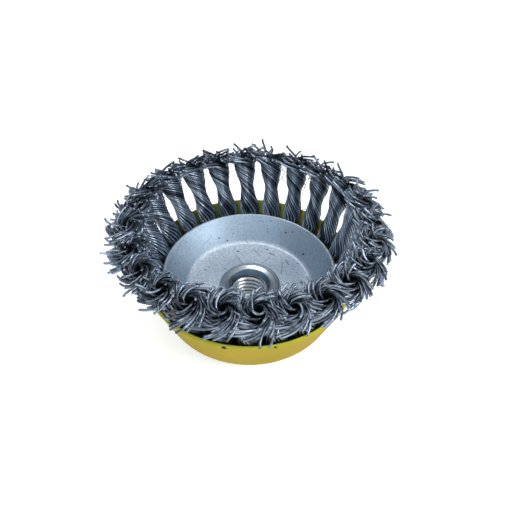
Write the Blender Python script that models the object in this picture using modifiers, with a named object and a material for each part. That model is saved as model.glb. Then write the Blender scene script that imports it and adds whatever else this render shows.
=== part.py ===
"""Bowl-shaped wire cup brush with twisted knots, standing on the lower end of its hub.

The frame is in metres with +Z along the spindle axis, from the machine side to the wire side.
The origin is on that axis, on the hub's lower end face.
"""

import math

import bmesh
import bpy

MM = 0.001

# Turned and pressed steel
ROUND_STEPS = 48
HUB_STEPS = 32
HIDDEN_STEPS = 24
CLEARANCE = 0.3 * MM

# Threaded hub
THREAD_MINOR_RADIUS = 6.0 * MM
THREAD_MAJOR_RADIUS = 7.0 * MM
HUB_MOUTH_RADIUS = 8.4 * MM
HUB_MOUTH_DEPTH = 4.0 * MM
HUB_NECK_RADIUS = 10.0 * MM
HUB_LIP_RADIUS = 11.1 * MM
HUB_LIP_HEIGHT = 1.0 * MM
HEX_ACROSS_FLATS = 24.0 * MM
HEX_BEVEL = 0.8 * MM
HUB_BELOW_CUP = 2.5 * MM

# Knot holder, whose circle of holes sets the radii of the cup, the plate and the tufts
HOLE_CIRCLE_RADIUS = 28.5 * MM
HOLDER_THICKNESS = 2.0 * MM
HOLE_RADIUS = 2.6 * MM
HOLE_SIDES = 6

# Outer cup
CUP_WALL = 1.2 * MM
CUP_RIM_OUTSET = 11.3 * MM
CUP_RIM_RADIUS = HOLE_CIRCLE_RADIUS + CUP_RIM_OUTSET
CUP_RIM_ROLL = 0.8 * MM
CUP_HEIGHT = 21.6 * MM
CUP_CORNER_RADIUS = 7.0 * MM
CUP_CORNER_STEPS = 3
CUP_BASE_INSET = 2.1 * MM
CUP_BASE_RADIUS = HOLE_CIRCLE_RADIUS - CUP_BASE_INSET
CUP_CHANNEL_INSET = 3.5 * MM
CUP_CHANNEL_RADIUS = HOLE_CIRCLE_RADIUS - CUP_CHANNEL_INSET
CUP_PLATFORM_HEIGHT = 5.4 * MM
CUP_PLATFORM_DRAFT = 1.4 * MM

# Inner plate
PLATE_THICKNESS = 1.5 * MM
PLATE_RIM_OUTSET = 2.9 * MM
PLATE_RIM_RADIUS = HOLE_CIRCLE_RADIUS + PLATE_RIM_OUTSET
PLATE_FLANGE_RUN = 7.9 * MM
PLATE_FLAT_RADIUS = PLATE_RIM_RADIUS - PLATE_FLANGE_RUN
PLATE_DEPTH = 9.3 * MM
PLATE_FILLET = 1.2 * MM
PLATE_FILLET_STEPS = 2
PLATE_EDGE_CROWN = 0.18 * MM

# Twisted knots
KNOT_COUNT = 24
STEM_POINTS = 8
HEAD_RADIUS = 2.8 * MM
HEAD_HEIGHT = 2.2 * MM
NECK_RADIUS = 2.2 * MM
KNOT_BASE_FILL = 0.76
KNOT_BASE_DEPTH = 3.1 * MM
KNOT_WAIST_RADIUS = 2.7 * MM
KNOT_SHOULDER_RADIUS = 3.5 * MM
KNOT_FLARE_RADIUS = 4.0 * MM
STRAND_GROOVE = 0.26
KNOT_TWIST_STEP = math.radians(-52.0)
UNTWISTED_RINGS = 2

# Stations along a stem, as shares of the way from the plate's rim to the tuft's centre
ROOT_BEND = 0.55
BASE_LOW = 0.02
BASE_HIGH = 0.16
WAIST_LOW = 0.32
WAIST_HIGH = 0.50
SHOULDER = 0.66
FLARE_HIGH = 0.86

# Splayed tufts
TUFT_OUTSET = 13.4 * MM
TUFT_CIRCLE_RADIUS = HOLE_CIRCLE_RADIUS + TUFT_OUTSET
TUFT_RISE = 20.6 * MM
TUFT_LEAN = math.radians(3.4)
TUFT_POINTS = 16
TUFT_REACH = 9.2 * MM
TUFT_SHIFT = 0.5 * MM
TUFT_SIDE = math.radians(7.3)
TUFT_BOX = 0.6
TUFT_DEPTH = 1.9 * MM
TUFT_CROWN = 2.2 * MM
TUFT_LIP = 1.8 * MM
TUFT_EDGE = 0.3 * MM
TUFT_DROOP = 0.9 * MM
TUFT_DIP = 0.9 * MM
TUFT_NOTCH = 0.2
TUFT_SWEEP = math.radians(3.0)
TUFT_SWIRL = math.radians(-24.0)
TUFT_UNDER_SHARE = 0.66
TUFT_CROWN_SHARE = 0.70
TUFT_LIP_SHARE = 0.28
HOLLOW_RADIUS = 1.1 * MM

# Heights, upwards from the hub's lower end
CUP_BASE_Z = HUB_BELOW_CUP
PLATFORM_UNDER_Z = CUP_BASE_Z + CUP_PLATFORM_HEIGHT
PLATFORM_TOP_Z = PLATFORM_UNDER_Z + CUP_WALL
HOLDER_UNDER_Z = PLATFORM_TOP_Z + CLEARANCE
HOLDER_TOP_Z = HOLDER_UNDER_Z + HOLDER_THICKNESS
PLATE_UNDER_Z = HOLDER_TOP_Z + CLEARANCE
PLATE_FLAT_Z = PLATE_UNDER_Z + PLATE_THICKNESS
PLATE_RIM_Z = PLATE_FLAT_Z + PLATE_DEPTH
CUP_RIM_Z = CUP_BASE_Z + CUP_HEIGHT
HUB_TOP_Z = PLATE_FLAT_Z + CLEARANCE + HUB_LIP_HEIGHT
HEX_HEIGHT = PLATFORM_UNDER_Z - CLEARANCE
BORE_CLEAR_RADIUS = HUB_NECK_RADIUS + CLEARANCE
PITCH_ANGLE = 2.0 * math.pi / KNOT_COUNT


def clear_scene():
    for obj in list(bpy.data.objects):
        bpy.data.objects.remove(obj, do_unlink=True)


def new_collection(name):
    group = bpy.data.collections.new(name)
    bpy.context.scene.collection.children.link(group)
    return group


def make_material(name, color, metallic, roughness):
    mat = bpy.data.materials.new(name)
    mat.use_nodes = True
    shader = mat.node_tree.nodes["Principled BSDF"]
    shader.inputs["Base Color"].default_value = (*color, 1.0)
    shader.inputs["Metallic"].default_value = metallic
    shader.inputs["Roughness"].default_value = roughness
    return mat


def arc(center, radius, start, end, steps):
    """Points on an arc in the profile plane, from one angle to another, in radians."""
    angles = [start + (end - start) * i / steps for i in range(steps + 1)]
    return [(center[0] + radius * math.cos(a), center[1] + radius * math.sin(a)) for a in angles]


def turned(name, profile, steps, group):
    """Turn a closed profile of (radius, height) points about the Z axis."""
    mesh = bpy.data.meshes.new(name)
    count = len(profile)
    edges = [(i, (i + 1) % count) for i in range(count)]
    mesh.from_pydata([(r, 0.0, z) for r, z in profile], edges, [])
    obj = bpy.data.objects.new(name, mesh)
    group.objects.link(obj)
    screw = obj.modifiers.new("Turn", "SCREW")
    screw.axis = "Z"
    screw.steps = steps
    screw.render_steps = steps
    screw.use_merge_vertices = True
    screw.merge_threshold = 0.00001
    screw.use_smooth_shade = True
    return obj


def add_boolean(obj, cutter, operation):
    boolean = obj.modifiers.new(operation.title(), "BOOLEAN")
    boolean.operation = operation
    boolean.object = cutter
    boolean.solver = "EXACT"


def hide_cutter(obj):
    obj.hide_render = True
    obj.display_type = "WIRE"


def mix(a, b, t):
    return a + (b - a) * t


def cup_corner():
    """Centre of the cup's bottom corner, and the angle at which the wall leaves it."""
    center = (CUP_BASE_RADIUS, CUP_BASE_Z + CUP_CORNER_RADIUS)
    crease_z = CUP_RIM_Z - CUP_RIM_ROLL
    reach = math.hypot(CUP_RIM_RADIUS - center[0], crease_z - center[1])
    toward = math.atan2(crease_z - center[1], CUP_RIM_RADIUS - center[0])
    return center, toward - math.acos(CUP_CORNER_RADIUS / reach)


def cup_inner_radius(z):
    """Radius of the cup's inside, on its straight tapered wall, at height z."""
    center, leave = cup_corner()
    inside = CUP_CORNER_RADIUS - CUP_WALL
    low_r = center[0] + inside * math.cos(leave)
    low_z = center[1] + inside * math.sin(leave)
    return low_r - (z - low_z) * math.tan(leave)


def plate_outer_radius(z):
    """Radius of the plate's cone on its lower side at height z."""
    run = PLATE_RIM_RADIUS - PLATE_FLAT_RADIUS
    slant = math.hypot(run, PLATE_DEPTH)
    return PLATE_RIM_RADIUS - (PLATE_RIM_Z - z) * run / PLATE_DEPTH + PLATE_THICKNESS * slant / PLATE_DEPTH


def make_cup(group):
    """Pressed bowl: tapered wall, round corner, and a middle raised into a platform."""
    center, leave = cup_corner()
    outer = arc(center, CUP_CORNER_RADIUS, leave, -math.pi / 2, CUP_CORNER_STEPS)
    inner = arc(center, CUP_CORNER_RADIUS - CUP_WALL, -math.pi / 2, leave, CUP_CORNER_STEPS)
    platform_radius = CUP_CHANNEL_RADIUS - CUP_PLATFORM_DRAFT
    floor_z = CUP_BASE_Z + CUP_WALL
    profile = [(CUP_RIM_RADIUS, CUP_RIM_Z - CUP_RIM_ROLL)]
    profile += outer
    profile += [(CUP_CHANNEL_RADIUS - CUP_WALL, CUP_BASE_Z)]
    profile += [(platform_radius - CUP_WALL, PLATFORM_UNDER_Z)]
    profile += [(BORE_CLEAR_RADIUS, PLATFORM_UNDER_Z), (BORE_CLEAR_RADIUS, PLATFORM_TOP_Z)]
    profile += [(platform_radius, PLATFORM_TOP_Z), (CUP_CHANNEL_RADIUS, floor_z)]
    profile += inner
    profile += [(cup_inner_radius(CUP_RIM_Z), CUP_RIM_Z)]
    return turned("outer_cup", profile, ROUND_STEPS, group)


def make_plate(group):
    """Pressed dish: flat middle, filleted corner and a conical flange with a round edge."""
    slope = math.atan2(PLATE_DEPTH, PLATE_RIM_RADIUS - PLATE_FLAT_RADIUS)
    set_back = PLATE_FILLET * math.tan(slope / 2)
    top_center = (PLATE_FLAT_RADIUS - set_back, PLATE_FLAT_Z + PLATE_FILLET)
    sweep = (-math.pi / 2, -math.pi / 2 + slope)
    fillet_top = arc(top_center, PLATE_FILLET, sweep[0], sweep[1], PLATE_FILLET_STEPS)
    fillet_under = arc(top_center, PLATE_FILLET + PLATE_THICKNESS, sweep[1], sweep[0], PLATE_FILLET_STEPS)
    normal = (math.sin(slope), -math.cos(slope))
    rim_in = (PLATE_RIM_RADIUS, PLATE_RIM_Z)
    rim_out = (rim_in[0] + PLATE_THICKNESS * normal[0], rim_in[1] + PLATE_THICKNESS * normal[1])
    crown = (mix(rim_in[0], rim_out[0], 0.5), PLATE_RIM_Z + PLATE_EDGE_CROWN)
    profile = [crown, rim_out]
    profile += fillet_under
    profile += [(BORE_CLEAR_RADIUS, PLATE_UNDER_Z), (BORE_CLEAR_RADIUS, PLATE_FLAT_Z)]
    profile += fillet_top
    profile += [rim_in]
    return turned("inner_plate", profile, ROUND_STEPS, group)


def make_holder(group, cutters):
    """Flat ring with one hole for each knot, as wide as the cup is inside."""
    edge = cup_inner_radius(HOLDER_UNDER_Z) - CLEARANCE
    profile = [(edge, HOLDER_TOP_Z), (edge, HOLDER_UNDER_Z)]
    profile += [(BORE_CLEAR_RADIUS, HOLDER_UNDER_Z), (BORE_CLEAR_RADIUS, HOLDER_TOP_Z)]
    holder = turned("knot_holder", profile, HIDDEN_STEPS, group)
    mesh = bpy.data.meshes.new("holder_holes")
    holes = bmesh.new()
    for i in range(KNOT_COUNT):
        made = bmesh.ops.create_cone(
            holes, cap_ends=True, segments=HOLE_SIDES, radius1=HOLE_RADIUS,
            radius2=HOLE_RADIUS, depth=HOLDER_THICKNESS * 3)
        angle = i * PITCH_ANGLE
        place = (HOLE_CIRCLE_RADIUS * math.cos(angle), HOLE_CIRCLE_RADIUS * math.sin(angle), 0.0)
        bmesh.ops.translate(holes, verts=made["verts"], vec=place)
    holes.to_mesh(mesh)
    holes.free()
    cutter = bpy.data.objects.new("holder_holes", mesh)
    cutters.objects.link(cutter)
    cutter.location.z = mix(HOLDER_UNDER_Z, HOLDER_TOP_Z, 0.5)
    hide_cutter(cutter)
    add_boolean(holder, cutter, "DIFFERENCE")
    return holder


def make_hub(group, cutters):
    """Hexagon nut with a neck swaged over the plate, bored for the spindle thread."""
    mesh = bpy.data.meshes.new("threaded_hub")
    hexagon = bmesh.new()
    corner_radius = HEX_ACROSS_FLATS / (2 * math.cos(math.pi / 6))
    bmesh.ops.create_cone(
        hexagon, cap_ends=True, segments=6, radius1=corner_radius,
        radius2=corner_radius, depth=HEX_HEIGHT)
    hexagon.to_mesh(mesh)
    hexagon.free()
    hub = bpy.data.objects.new("threaded_hub", mesh)
    group.objects.link(hub)
    hub.location.z = HEX_HEIGHT / 2
    bevel = hub.modifiers.new("Edges", "BEVEL")
    bevel.width = HEX_BEVEL
    bevel.segments = 1
    bevel.limit_method = "ANGLE"
    bevel.angle_limit = math.radians(75)

    lip_under = HUB_TOP_Z - HUB_LIP_HEIGHT
    lip_half = HUB_LIP_HEIGHT / 2
    neck_profile = arc((HUB_LIP_RADIUS - lip_half, HUB_TOP_Z - lip_half), lip_half,
                       math.pi / 2, -math.pi / 2, 4)
    neck_profile += [(HUB_NECK_RADIUS, lip_under), (HUB_NECK_RADIUS, HEX_HEIGHT / 2)]
    neck_profile += [(THREAD_MINOR_RADIUS / 2, HEX_HEIGHT / 2), (THREAD_MINOR_RADIUS / 2, HUB_TOP_Z)]
    neck = turned("hub_neck", neck_profile, HUB_STEPS, cutters)
    hide_cutter(neck)
    add_boolean(hub, neck, "UNION")

    past = HUB_LIP_HEIGHT
    chamfer = THREAD_MAJOR_RADIUS - THREAD_MINOR_RADIUS
    mouth_low = HUB_TOP_Z - HUB_MOUTH_DEPTH
    bore_profile = [(0.0, HUB_TOP_Z + past), (HUB_MOUTH_RADIUS, HUB_TOP_Z + past)]
    bore_profile += [(HUB_MOUTH_RADIUS, HUB_TOP_Z), (THREAD_MAJOR_RADIUS, mouth_low)]
    bore_profile += [(THREAD_MINOR_RADIUS, mouth_low - chamfer), (THREAD_MINOR_RADIUS, chamfer)]
    bore_profile += [(THREAD_MAJOR_RADIUS, 0.0), (THREAD_MAJOR_RADIUS, -past), (0.0, -past)]
    bore = turned_solid("hub_bore", bore_profile, HUB_STEPS, cutters)
    hide_cutter(bore)
    add_boolean(hub, bore, "DIFFERENCE")
    return hub


def turned_solid(name, profile, steps, group):
    """Turn an open profile whose two ends lie on the axis."""
    mesh = bpy.data.meshes.new(name)
    edges = [(i, i + 1) for i in range(len(profile) - 1)]
    mesh.from_pydata([(r, 0.0, z) for r, z in profile], edges, [])
    obj = bpy.data.objects.new(name, mesh)
    group.objects.link(obj)
    screw = obj.modifiers.new("Turn", "SCREW")
    screw.axis = "Z"
    screw.steps = steps
    screw.render_steps = steps
    screw.use_merge_vertices = True
    screw.merge_threshold = 0.00001
    return obj


def stem_ring(center, tilt, half, groove, twist):
    """One cross-section of a stem: a closed ring of points square to its axis.

    center is (radius, sideways offset, height), tilt is the axis's lean outwards and half is
    the pair of half widths, outwards and sideways. The groove between the two twisted legs is
    a share of the half width.
    """
    points = []
    for i in range(STEM_POINTS):
        angle = 2.0 * math.pi * i / STEM_POINTS
        reach = 1.0 - groove * math.sin(angle) ** 2
        out = half[0] * reach * math.cos(angle + twist)
        side = half[1] * reach * math.sin(angle + twist)
        points.append((center[0] + out * math.cos(tilt), center[1] + side, center[2] - out * math.sin(tilt)))
    return points


def root_rings():
    """Folded head under the holder, the neck in its hole and the bend below the plate's rim."""
    head_z = HOLDER_UNDER_Z - CLEARANCE
    head = (HOLE_CIRCLE_RADIUS, 0.0, head_z - HEAD_HEIGHT)
    neck_low = (HOLE_CIRCLE_RADIUS, 0.0, head_z)
    neck_high = (HOLE_CIRCLE_RADIUS, 0.0, HOLDER_TOP_Z)
    bend_z = mix(HOLDER_TOP_Z, PLATE_RIM_Z, ROOT_BEND)
    bend_in = plate_outer_radius(bend_z)
    bend_out = cup_inner_radius(bend_z)
    bend = (mix(bend_in, bend_out, 0.5), 0.0, bend_z)
    gap_half = (bend_out - bend_in) / 2 - CLEARANCE
    tilt = math.atan2(bend[0] - HOLE_CIRCLE_RADIUS, bend_z - HOLDER_TOP_Z)
    return [
        stem_ring(head, 0.0, (HEAD_RADIUS, HEAD_RADIUS), 0.0, 0.0),
        stem_ring(neck_low, 0.0, (NECK_RADIUS, NECK_RADIUS), 0.0, 0.0),
        stem_ring(neck_high, 0.0, (NECK_RADIUS, NECK_RADIUS), 0.0, KNOT_TWIST_STEP),
        stem_ring(bend, tilt, (gap_half * math.cos(tilt), NECK_RADIUS), STRAND_GROOVE, 2 * KNOT_TWIST_STEP),
    ]


def half_pitch(radius):
    """Half the distance between neighbouring knots at a radius, less half the clearance."""
    return radius * math.sin(PITCH_ANGLE / 2) - CLEARANCE / 2


def knot_foot():
    """Radius at which a knot leaves the gap, its half depth there, and its lean outwards."""
    gap_in = PLATE_RIM_RADIUS + PLATE_THICKNESS
    gap_out = cup_inner_radius(PLATE_RIM_Z)
    foot_r = mix(gap_in, gap_out, 0.5)
    tilt = math.atan2(TUFT_CIRCLE_RADIUS - foot_r, TUFT_RISE)
    return foot_r, (gap_out - gap_in) / 2 - CLEARANCE, tilt


def axis_point(foot_r, along):
    """Point on the knot's axis: 0 at the plate's rim, 1 at the tuft's centre."""
    radius = mix(foot_r, TUFT_CIRCLE_RADIUS, along)
    lean = TUFT_LEAN * along
    return (radius * math.cos(lean), radius * math.sin(lean), PLATE_RIM_Z + TUFT_RISE * along)


def stem_rings(twist):
    """Twisted stem from the plate's rim up: wide base, waist, and flare under the tuft.

    twist is the turn at which the ring below ends. The stem goes on by a step for each ring.
    """
    foot_r, foot_half, tilt = knot_foot()
    base_side = KNOT_BASE_FILL * half_pitch(foot_r)
    sections = (
        (BASE_LOW, foot_half, base_side),
        (BASE_HIGH, KNOT_BASE_DEPTH, base_side),
        (WAIST_LOW, KNOT_WAIST_RADIUS, KNOT_WAIST_RADIUS),
        (WAIST_HIGH, KNOT_WAIST_RADIUS, KNOT_WAIST_RADIUS),
        (SHOULDER, KNOT_SHOULDER_RADIUS, KNOT_SHOULDER_RADIUS),
        (FLARE_HIGH, KNOT_FLARE_RADIUS, KNOT_FLARE_RADIUS),
    )
    rings = []
    for along, out_half, side_half in sections:
        twist += KNOT_TWIST_STEP
        rings.append(stem_ring(axis_point(foot_r, along), tilt, (out_half, side_half), STRAND_GROOVE, twist))
    return rings


def boxed(value):
    """Push a sine or cosine towards 1 or -1, which squares up the round outline."""
    return math.copysign(abs(value) ** TUFT_BOX, value)


def tuft_ring(lift, share, notch, droop, twist):
    """Jagged outline of the splayed wires, a wedge of the ring of tufts, swept as it goes out.

    lift is the ring's height along the axis from the tuft's centre, and share is its part of
    the tuft's full reach. Every other point is a clump's tip, which droops, and the points
    between are notched back towards the axis. The outer side reaches further and lies lower.
    """
    foot_r, _, tilt = knot_foot()
    along = 1.0 + lift * math.cos(tilt) / TUFT_RISE
    radius = mix(foot_r, TUFT_CIRCLE_RADIUS, along)
    points = []
    for i in range(TUFT_POINTS):
        angle = 2.0 * math.pi * i / TUFT_POINTS + twist
        valley = i % 2
        reach = share * (1.0 - notch * valley)
        out = TUFT_REACH * reach * boxed(math.cos(angle)) + TUFT_SHIFT * share
        turn = TUFT_SIDE * reach * boxed(math.sin(angle))
        turn += TUFT_LEAN * along - TUFT_SWEEP * out / TUFT_REACH
        drop = droop * (1 - valley) + TUFT_DIP * out / TUFT_REACH
        reach_r = radius + out * math.cos(tilt) - drop * math.sin(tilt)
        height = PLATE_RIM_Z + TUFT_RISE * along - out * math.sin(tilt) - drop * math.cos(tilt)
        points.append((reach_r * math.cos(turn), reach_r * math.sin(turn), height))
    return points


def tuft_rings(twist):
    """Splayed tuft from its underside over the jagged edge and the crown into its hollow.

    twist is the turn at which the stem ends.
    """
    start = twist + KNOT_TWIST_STEP
    hollow_share = HOLLOW_RADIUS / TUFT_REACH
    return [
        tuft_ring(-TUFT_DEPTH, TUFT_UNDER_SHARE, TUFT_NOTCH, 0.0, start),
        tuft_ring(TUFT_EDGE, 1.0, TUFT_NOTCH, TUFT_DROOP, start + TUFT_SWIRL),
        tuft_ring(TUFT_CROWN, TUFT_CROWN_SHARE, TUFT_NOTCH, 0.0, start),
        tuft_ring(TUFT_LIP, TUFT_LIP_SHARE, 0.0, 0.0, start - TUFT_SWIRL),
        tuft_ring(0.0, hollow_share, 0.0, 0.0, start - TUFT_SWIRL),
    ]


def ring_faces(low, high, count):
    """Triangles between two rings of count points, every quad split along the twist."""
    faces = []
    for i in range(count):
        j = (i + 1) % count
        faces.append((low + i, low + j, high + j))
        faces.append((low + i, high + j, high + i))
    return faces


def spread_faces(low, high):
    """Triangles from the last stem ring to the first tuft ring, which has twice its points."""
    faces = []
    for i in range(STEM_POINTS):
        j = (i + 1) % STEM_POINTS
        faces.append((low + i, high + 2 * i + 1, high + 2 * i))
        faces.append((low + i, low + j, high + 2 * i + 1))
        faces.append((low + j, high + 2 * j, high + 2 * i + 1))
    return faces


def knot_mesh():
    """Loft through a knot's unlike sections, from the folded head to the hollow tuft."""
    root = root_rings()
    stem = root + stem_rings((len(root) - UNTWISTED_RINGS) * KNOT_TWIST_STEP)
    tuft = tuft_rings((len(stem) - UNTWISTED_RINGS) * KNOT_TWIST_STEP)
    verts = [point for ring in stem + tuft for point in ring]
    faces = [tuple(reversed(range(STEM_POINTS)))]
    for k in range(len(stem) - 1):
        faces += ring_faces(k * STEM_POINTS, (k + 1) * STEM_POINTS, STEM_POINTS)
    base = len(stem) * STEM_POINTS
    faces += spread_faces(base - STEM_POINTS, base)
    for k in range(len(tuft) - 1):
        low = base + k * TUFT_POINTS
        faces += ring_faces(low, low + TUFT_POINTS, TUFT_POINTS)
    top = base + (len(tuft) - 1) * TUFT_POINTS
    faces.append(tuple(range(top, top + TUFT_POINTS)))
    mesh = bpy.data.meshes.new("knot")
    mesh.from_pydata(verts, [], faces)
    mesh.update()
    return mesh


def make_knots(group):
    """One object for each knot around the ring, all on the same mesh."""
    mesh = knot_mesh()
    knots = []
    for i in range(KNOT_COUNT):
        knot = bpy.data.objects.new(f"knot_{i + 1:02d}", mesh)
        group.objects.link(knot)
        knot.rotation_euler.z = i * PITCH_ANGLE
        knots.append(knot)
    return knots


def main():
    clear_scene()
    parts = new_collection("wire_cup_brush")
    cutters = new_collection("wire_cup_brush_cutters")
    paint = make_material("yellow_paint", (0.42, 0.36, 0.03), 0.0, 0.4)
    zinc = make_material("zinc_plate", (0.52, 0.58, 0.64), 1.0, 0.35)
    plain = make_material("plain_steel", (0.35, 0.36, 0.38), 1.0, 0.5)
    wire = make_material("wire_steel", (0.09, 0.11, 0.14), 0.9, 0.4)
    make_cup(parts).data.materials.append(paint)
    make_plate(parts).data.materials.append(zinc)
    make_holder(parts, cutters).data.materials.append(plain)
    make_hub(parts, cutters).data.materials.append(zinc)
    knots = make_knots(parts)
    knots[0].data.materials.append(wire)
    for part in parts.objects:
        part.data.shade_smooth()
        part.data.set_sharp_from_angle(angle=math.radians(35))


main()
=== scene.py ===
"""Looks of a bowl-shaped wire cup brush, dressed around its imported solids.

Lengths are in metres in the frame of the solids: +Z runs along the spindle axis to the wire
side, and the origin is on the hub's lower end face. The pressed cup, the dish and the hub are
turned surfaces, and each knot is a bundle of separate twisted wires that splay at the tip.
"""

import logging
import math
from dataclasses import dataclass, field, replace
from enum import Enum

import bpy
import numpy as np
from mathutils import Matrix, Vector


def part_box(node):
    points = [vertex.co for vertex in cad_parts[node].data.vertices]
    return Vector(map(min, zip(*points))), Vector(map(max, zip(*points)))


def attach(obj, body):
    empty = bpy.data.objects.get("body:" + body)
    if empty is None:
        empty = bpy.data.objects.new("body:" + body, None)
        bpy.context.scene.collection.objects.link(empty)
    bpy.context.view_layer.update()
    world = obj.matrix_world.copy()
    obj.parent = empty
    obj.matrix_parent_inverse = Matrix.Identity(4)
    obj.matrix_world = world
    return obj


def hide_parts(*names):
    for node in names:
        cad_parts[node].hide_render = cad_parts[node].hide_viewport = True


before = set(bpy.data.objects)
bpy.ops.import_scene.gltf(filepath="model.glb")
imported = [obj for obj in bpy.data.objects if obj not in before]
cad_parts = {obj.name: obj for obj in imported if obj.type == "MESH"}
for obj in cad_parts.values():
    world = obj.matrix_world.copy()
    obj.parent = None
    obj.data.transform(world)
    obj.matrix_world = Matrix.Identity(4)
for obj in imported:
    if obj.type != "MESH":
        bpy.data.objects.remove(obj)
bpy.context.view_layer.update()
LOG = logging.getLogger("wire_cup_brush")
MM = 0.001
TAU = 2.0 * math.pi
TOUCH = 1e-6
Array = np.ndarray
Color = tuple[float, float, float]
Material = bpy.types.Material
Node = bpy.types.Node
Socket = bpy.types.NodeSocket
WHITE: Color = (1.0, 1.0, 1.0)


class Slot(Enum):
    """Names of material slots, which nothing in the script uses."""

    PAINT = "yellow_paint"
    ZINC = "zinc_plate"
    HUB = "hub_zinc"
    WIRE = "wire_steel"


class Layer(Enum):
    """Layers of wires in a knot: share of the half width, wire count and tip angle."""

    SKIN = (0.92, 15, math.radians(88))
    MIDDLE = (0.70, 17, math.radians(86))
    CORE = (0.46, 11, math.radians(82))
    HEART = (0.20, 4, math.radians(76))


def mix(a: float | Array, b: float | Array, t: float | Array) -> float | Array:
    """Blend from a to b as t goes from 0 to 1."""
    return a + (b - a) * t


def smooth(t: Array) -> Array:
    """Ease from 0 to 1: three t squared less two t cubed, with t held between 0 and 1."""
    held = np.clip(t, 0.0, 1.0)
    return held * held * (3.0 - 2.0 * held)


def unit(vectors: Array) -> Array:
    """Scale each vector, along the last axis, to a length of one."""
    return vectors / np.maximum(np.linalg.norm(vectors, axis=-1, keepdims=True), 1e-12)


def grid_quads(rows: int, columns: int, wrap_rows: bool) -> Array:
    """Quads of a grid that closes on itself along its columns, and along its rows if asked.

    Args:
        rows: Number of rows of points.
        columns: Number of points in each row.
        wrap_rows: Whether the last row joins the first.

    Returns:
        An array of four point numbers for each quad.
    """
    spans = rows if wrap_rows else rows - 1
    row, column = np.meshgrid(np.arange(spans), np.arange(columns), indexing="ij")
    next_row = (row + 1) % rows
    next_column = (column + 1) % columns
    corners = (
        row * columns + column, row * columns + next_column,
        next_row * columns + next_column, next_row * columns + column,
    )
    return np.stack(corners, axis=-1).reshape(-1, 4)


def signed_volume(points: Array, faces: Array) -> float:
    """Volume inside the faces, as one sixth of the sum of their triple products.

    Args:
        points: Array of points.
        faces: Array of triangles or of quads.

    Returns:
        The volume, below zero where the faces look inwards.
    """
    a, b, c = points[faces[:, 0]], points[faces[:, 1]], points[faces[:, 2]]
    volume = np.einsum("ij,ij->i", a, np.cross(b, c)).sum()
    if faces.shape[1] == 4:
        d = points[faces[:, 3]]
        volume += np.einsum("ij,ij->i", a, np.cross(c, d)).sum()
    return float(volume) / 6.0


def make_mesh(name: str, points: Array, quads: Array, caps: Array) -> bpy.types.Mesh:
    """Put points, quads and triangles into a mesh, with every face turned outwards.

    Args:
        name: Name of the mesh.
        points: Array of points, three numbers each.
        quads: Array of quads.
        caps: Array of triangles, which may be empty.

    Returns:
        The smooth shaded mesh.
    """
    volume = signed_volume(points, quads)
    if len(caps):
        volume += signed_volume(points, caps)
    if volume < 0.0:
        quads, caps = quads[:, ::-1], caps[:, ::-1]
    mesh = bpy.data.meshes.new(name)
    mesh.vertices.add(len(points))
    mesh.vertices.foreach_set("co", points.astype(np.float32).ravel())
    corners = np.concatenate([quads.ravel(), caps.ravel()]).astype(np.int32)
    mesh.loops.add(len(corners))
    mesh.loops.foreach_set("vertex_index", corners)
    starts = np.concatenate([
        np.arange(len(quads)) * 4,
        len(quads) * 4 + np.arange(len(caps)) * 3,
    ]).astype(np.int32)
    mesh.polygons.add(len(starts))
    mesh.polygons.foreach_set("loop_start", starts)
    mesh.polygons.foreach_set("use_smooth", np.ones(len(starts), dtype=bool))
    mesh.update(calc_edges=True)
    mesh.validate()
    return mesh


def add_attribute(mesh: bpy.types.Mesh, name: str, values: Array) -> None:
    """Store one number for each point of the mesh under a name."""
    attribute = mesh.attributes.new(name, "FLOAT", "POINT")
    attribute.data.foreach_set("value", values.astype(np.float32).ravel())


def link_object(name: str, data: bpy.types.ID) -> bpy.types.Object:
    """New object that shows the data, linked to the scene.

    Args:
        name: Name of the object.
        data: Its mesh, lamp or camera.

    Returns:
        The object.
    """
    made = bpy.data.objects.new(name, data)
    bpy.context.scene.collection.objects.link(made)
    return made


def place_piece(name: str, mesh: bpy.types.Mesh, finish: Material,
                nodes: tuple[str, ...]) -> bpy.types.Object:
    """Link a mesh as a piece of the brush that stands for some of the solids.

    Args:
        name: Name of the piece.
        mesh: Its mesh, already in place.
        finish: Its material.
        nodes: The solids that it stands for.

    Returns:
        The new object.
    """
    piece = link_object(name, mesh)
    mesh.materials.append(finish)
    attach(piece, "root")
    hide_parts(*nodes)
    LOG.info("%s: %d faces", name, len(mesh.polygons))
    return piece


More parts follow.
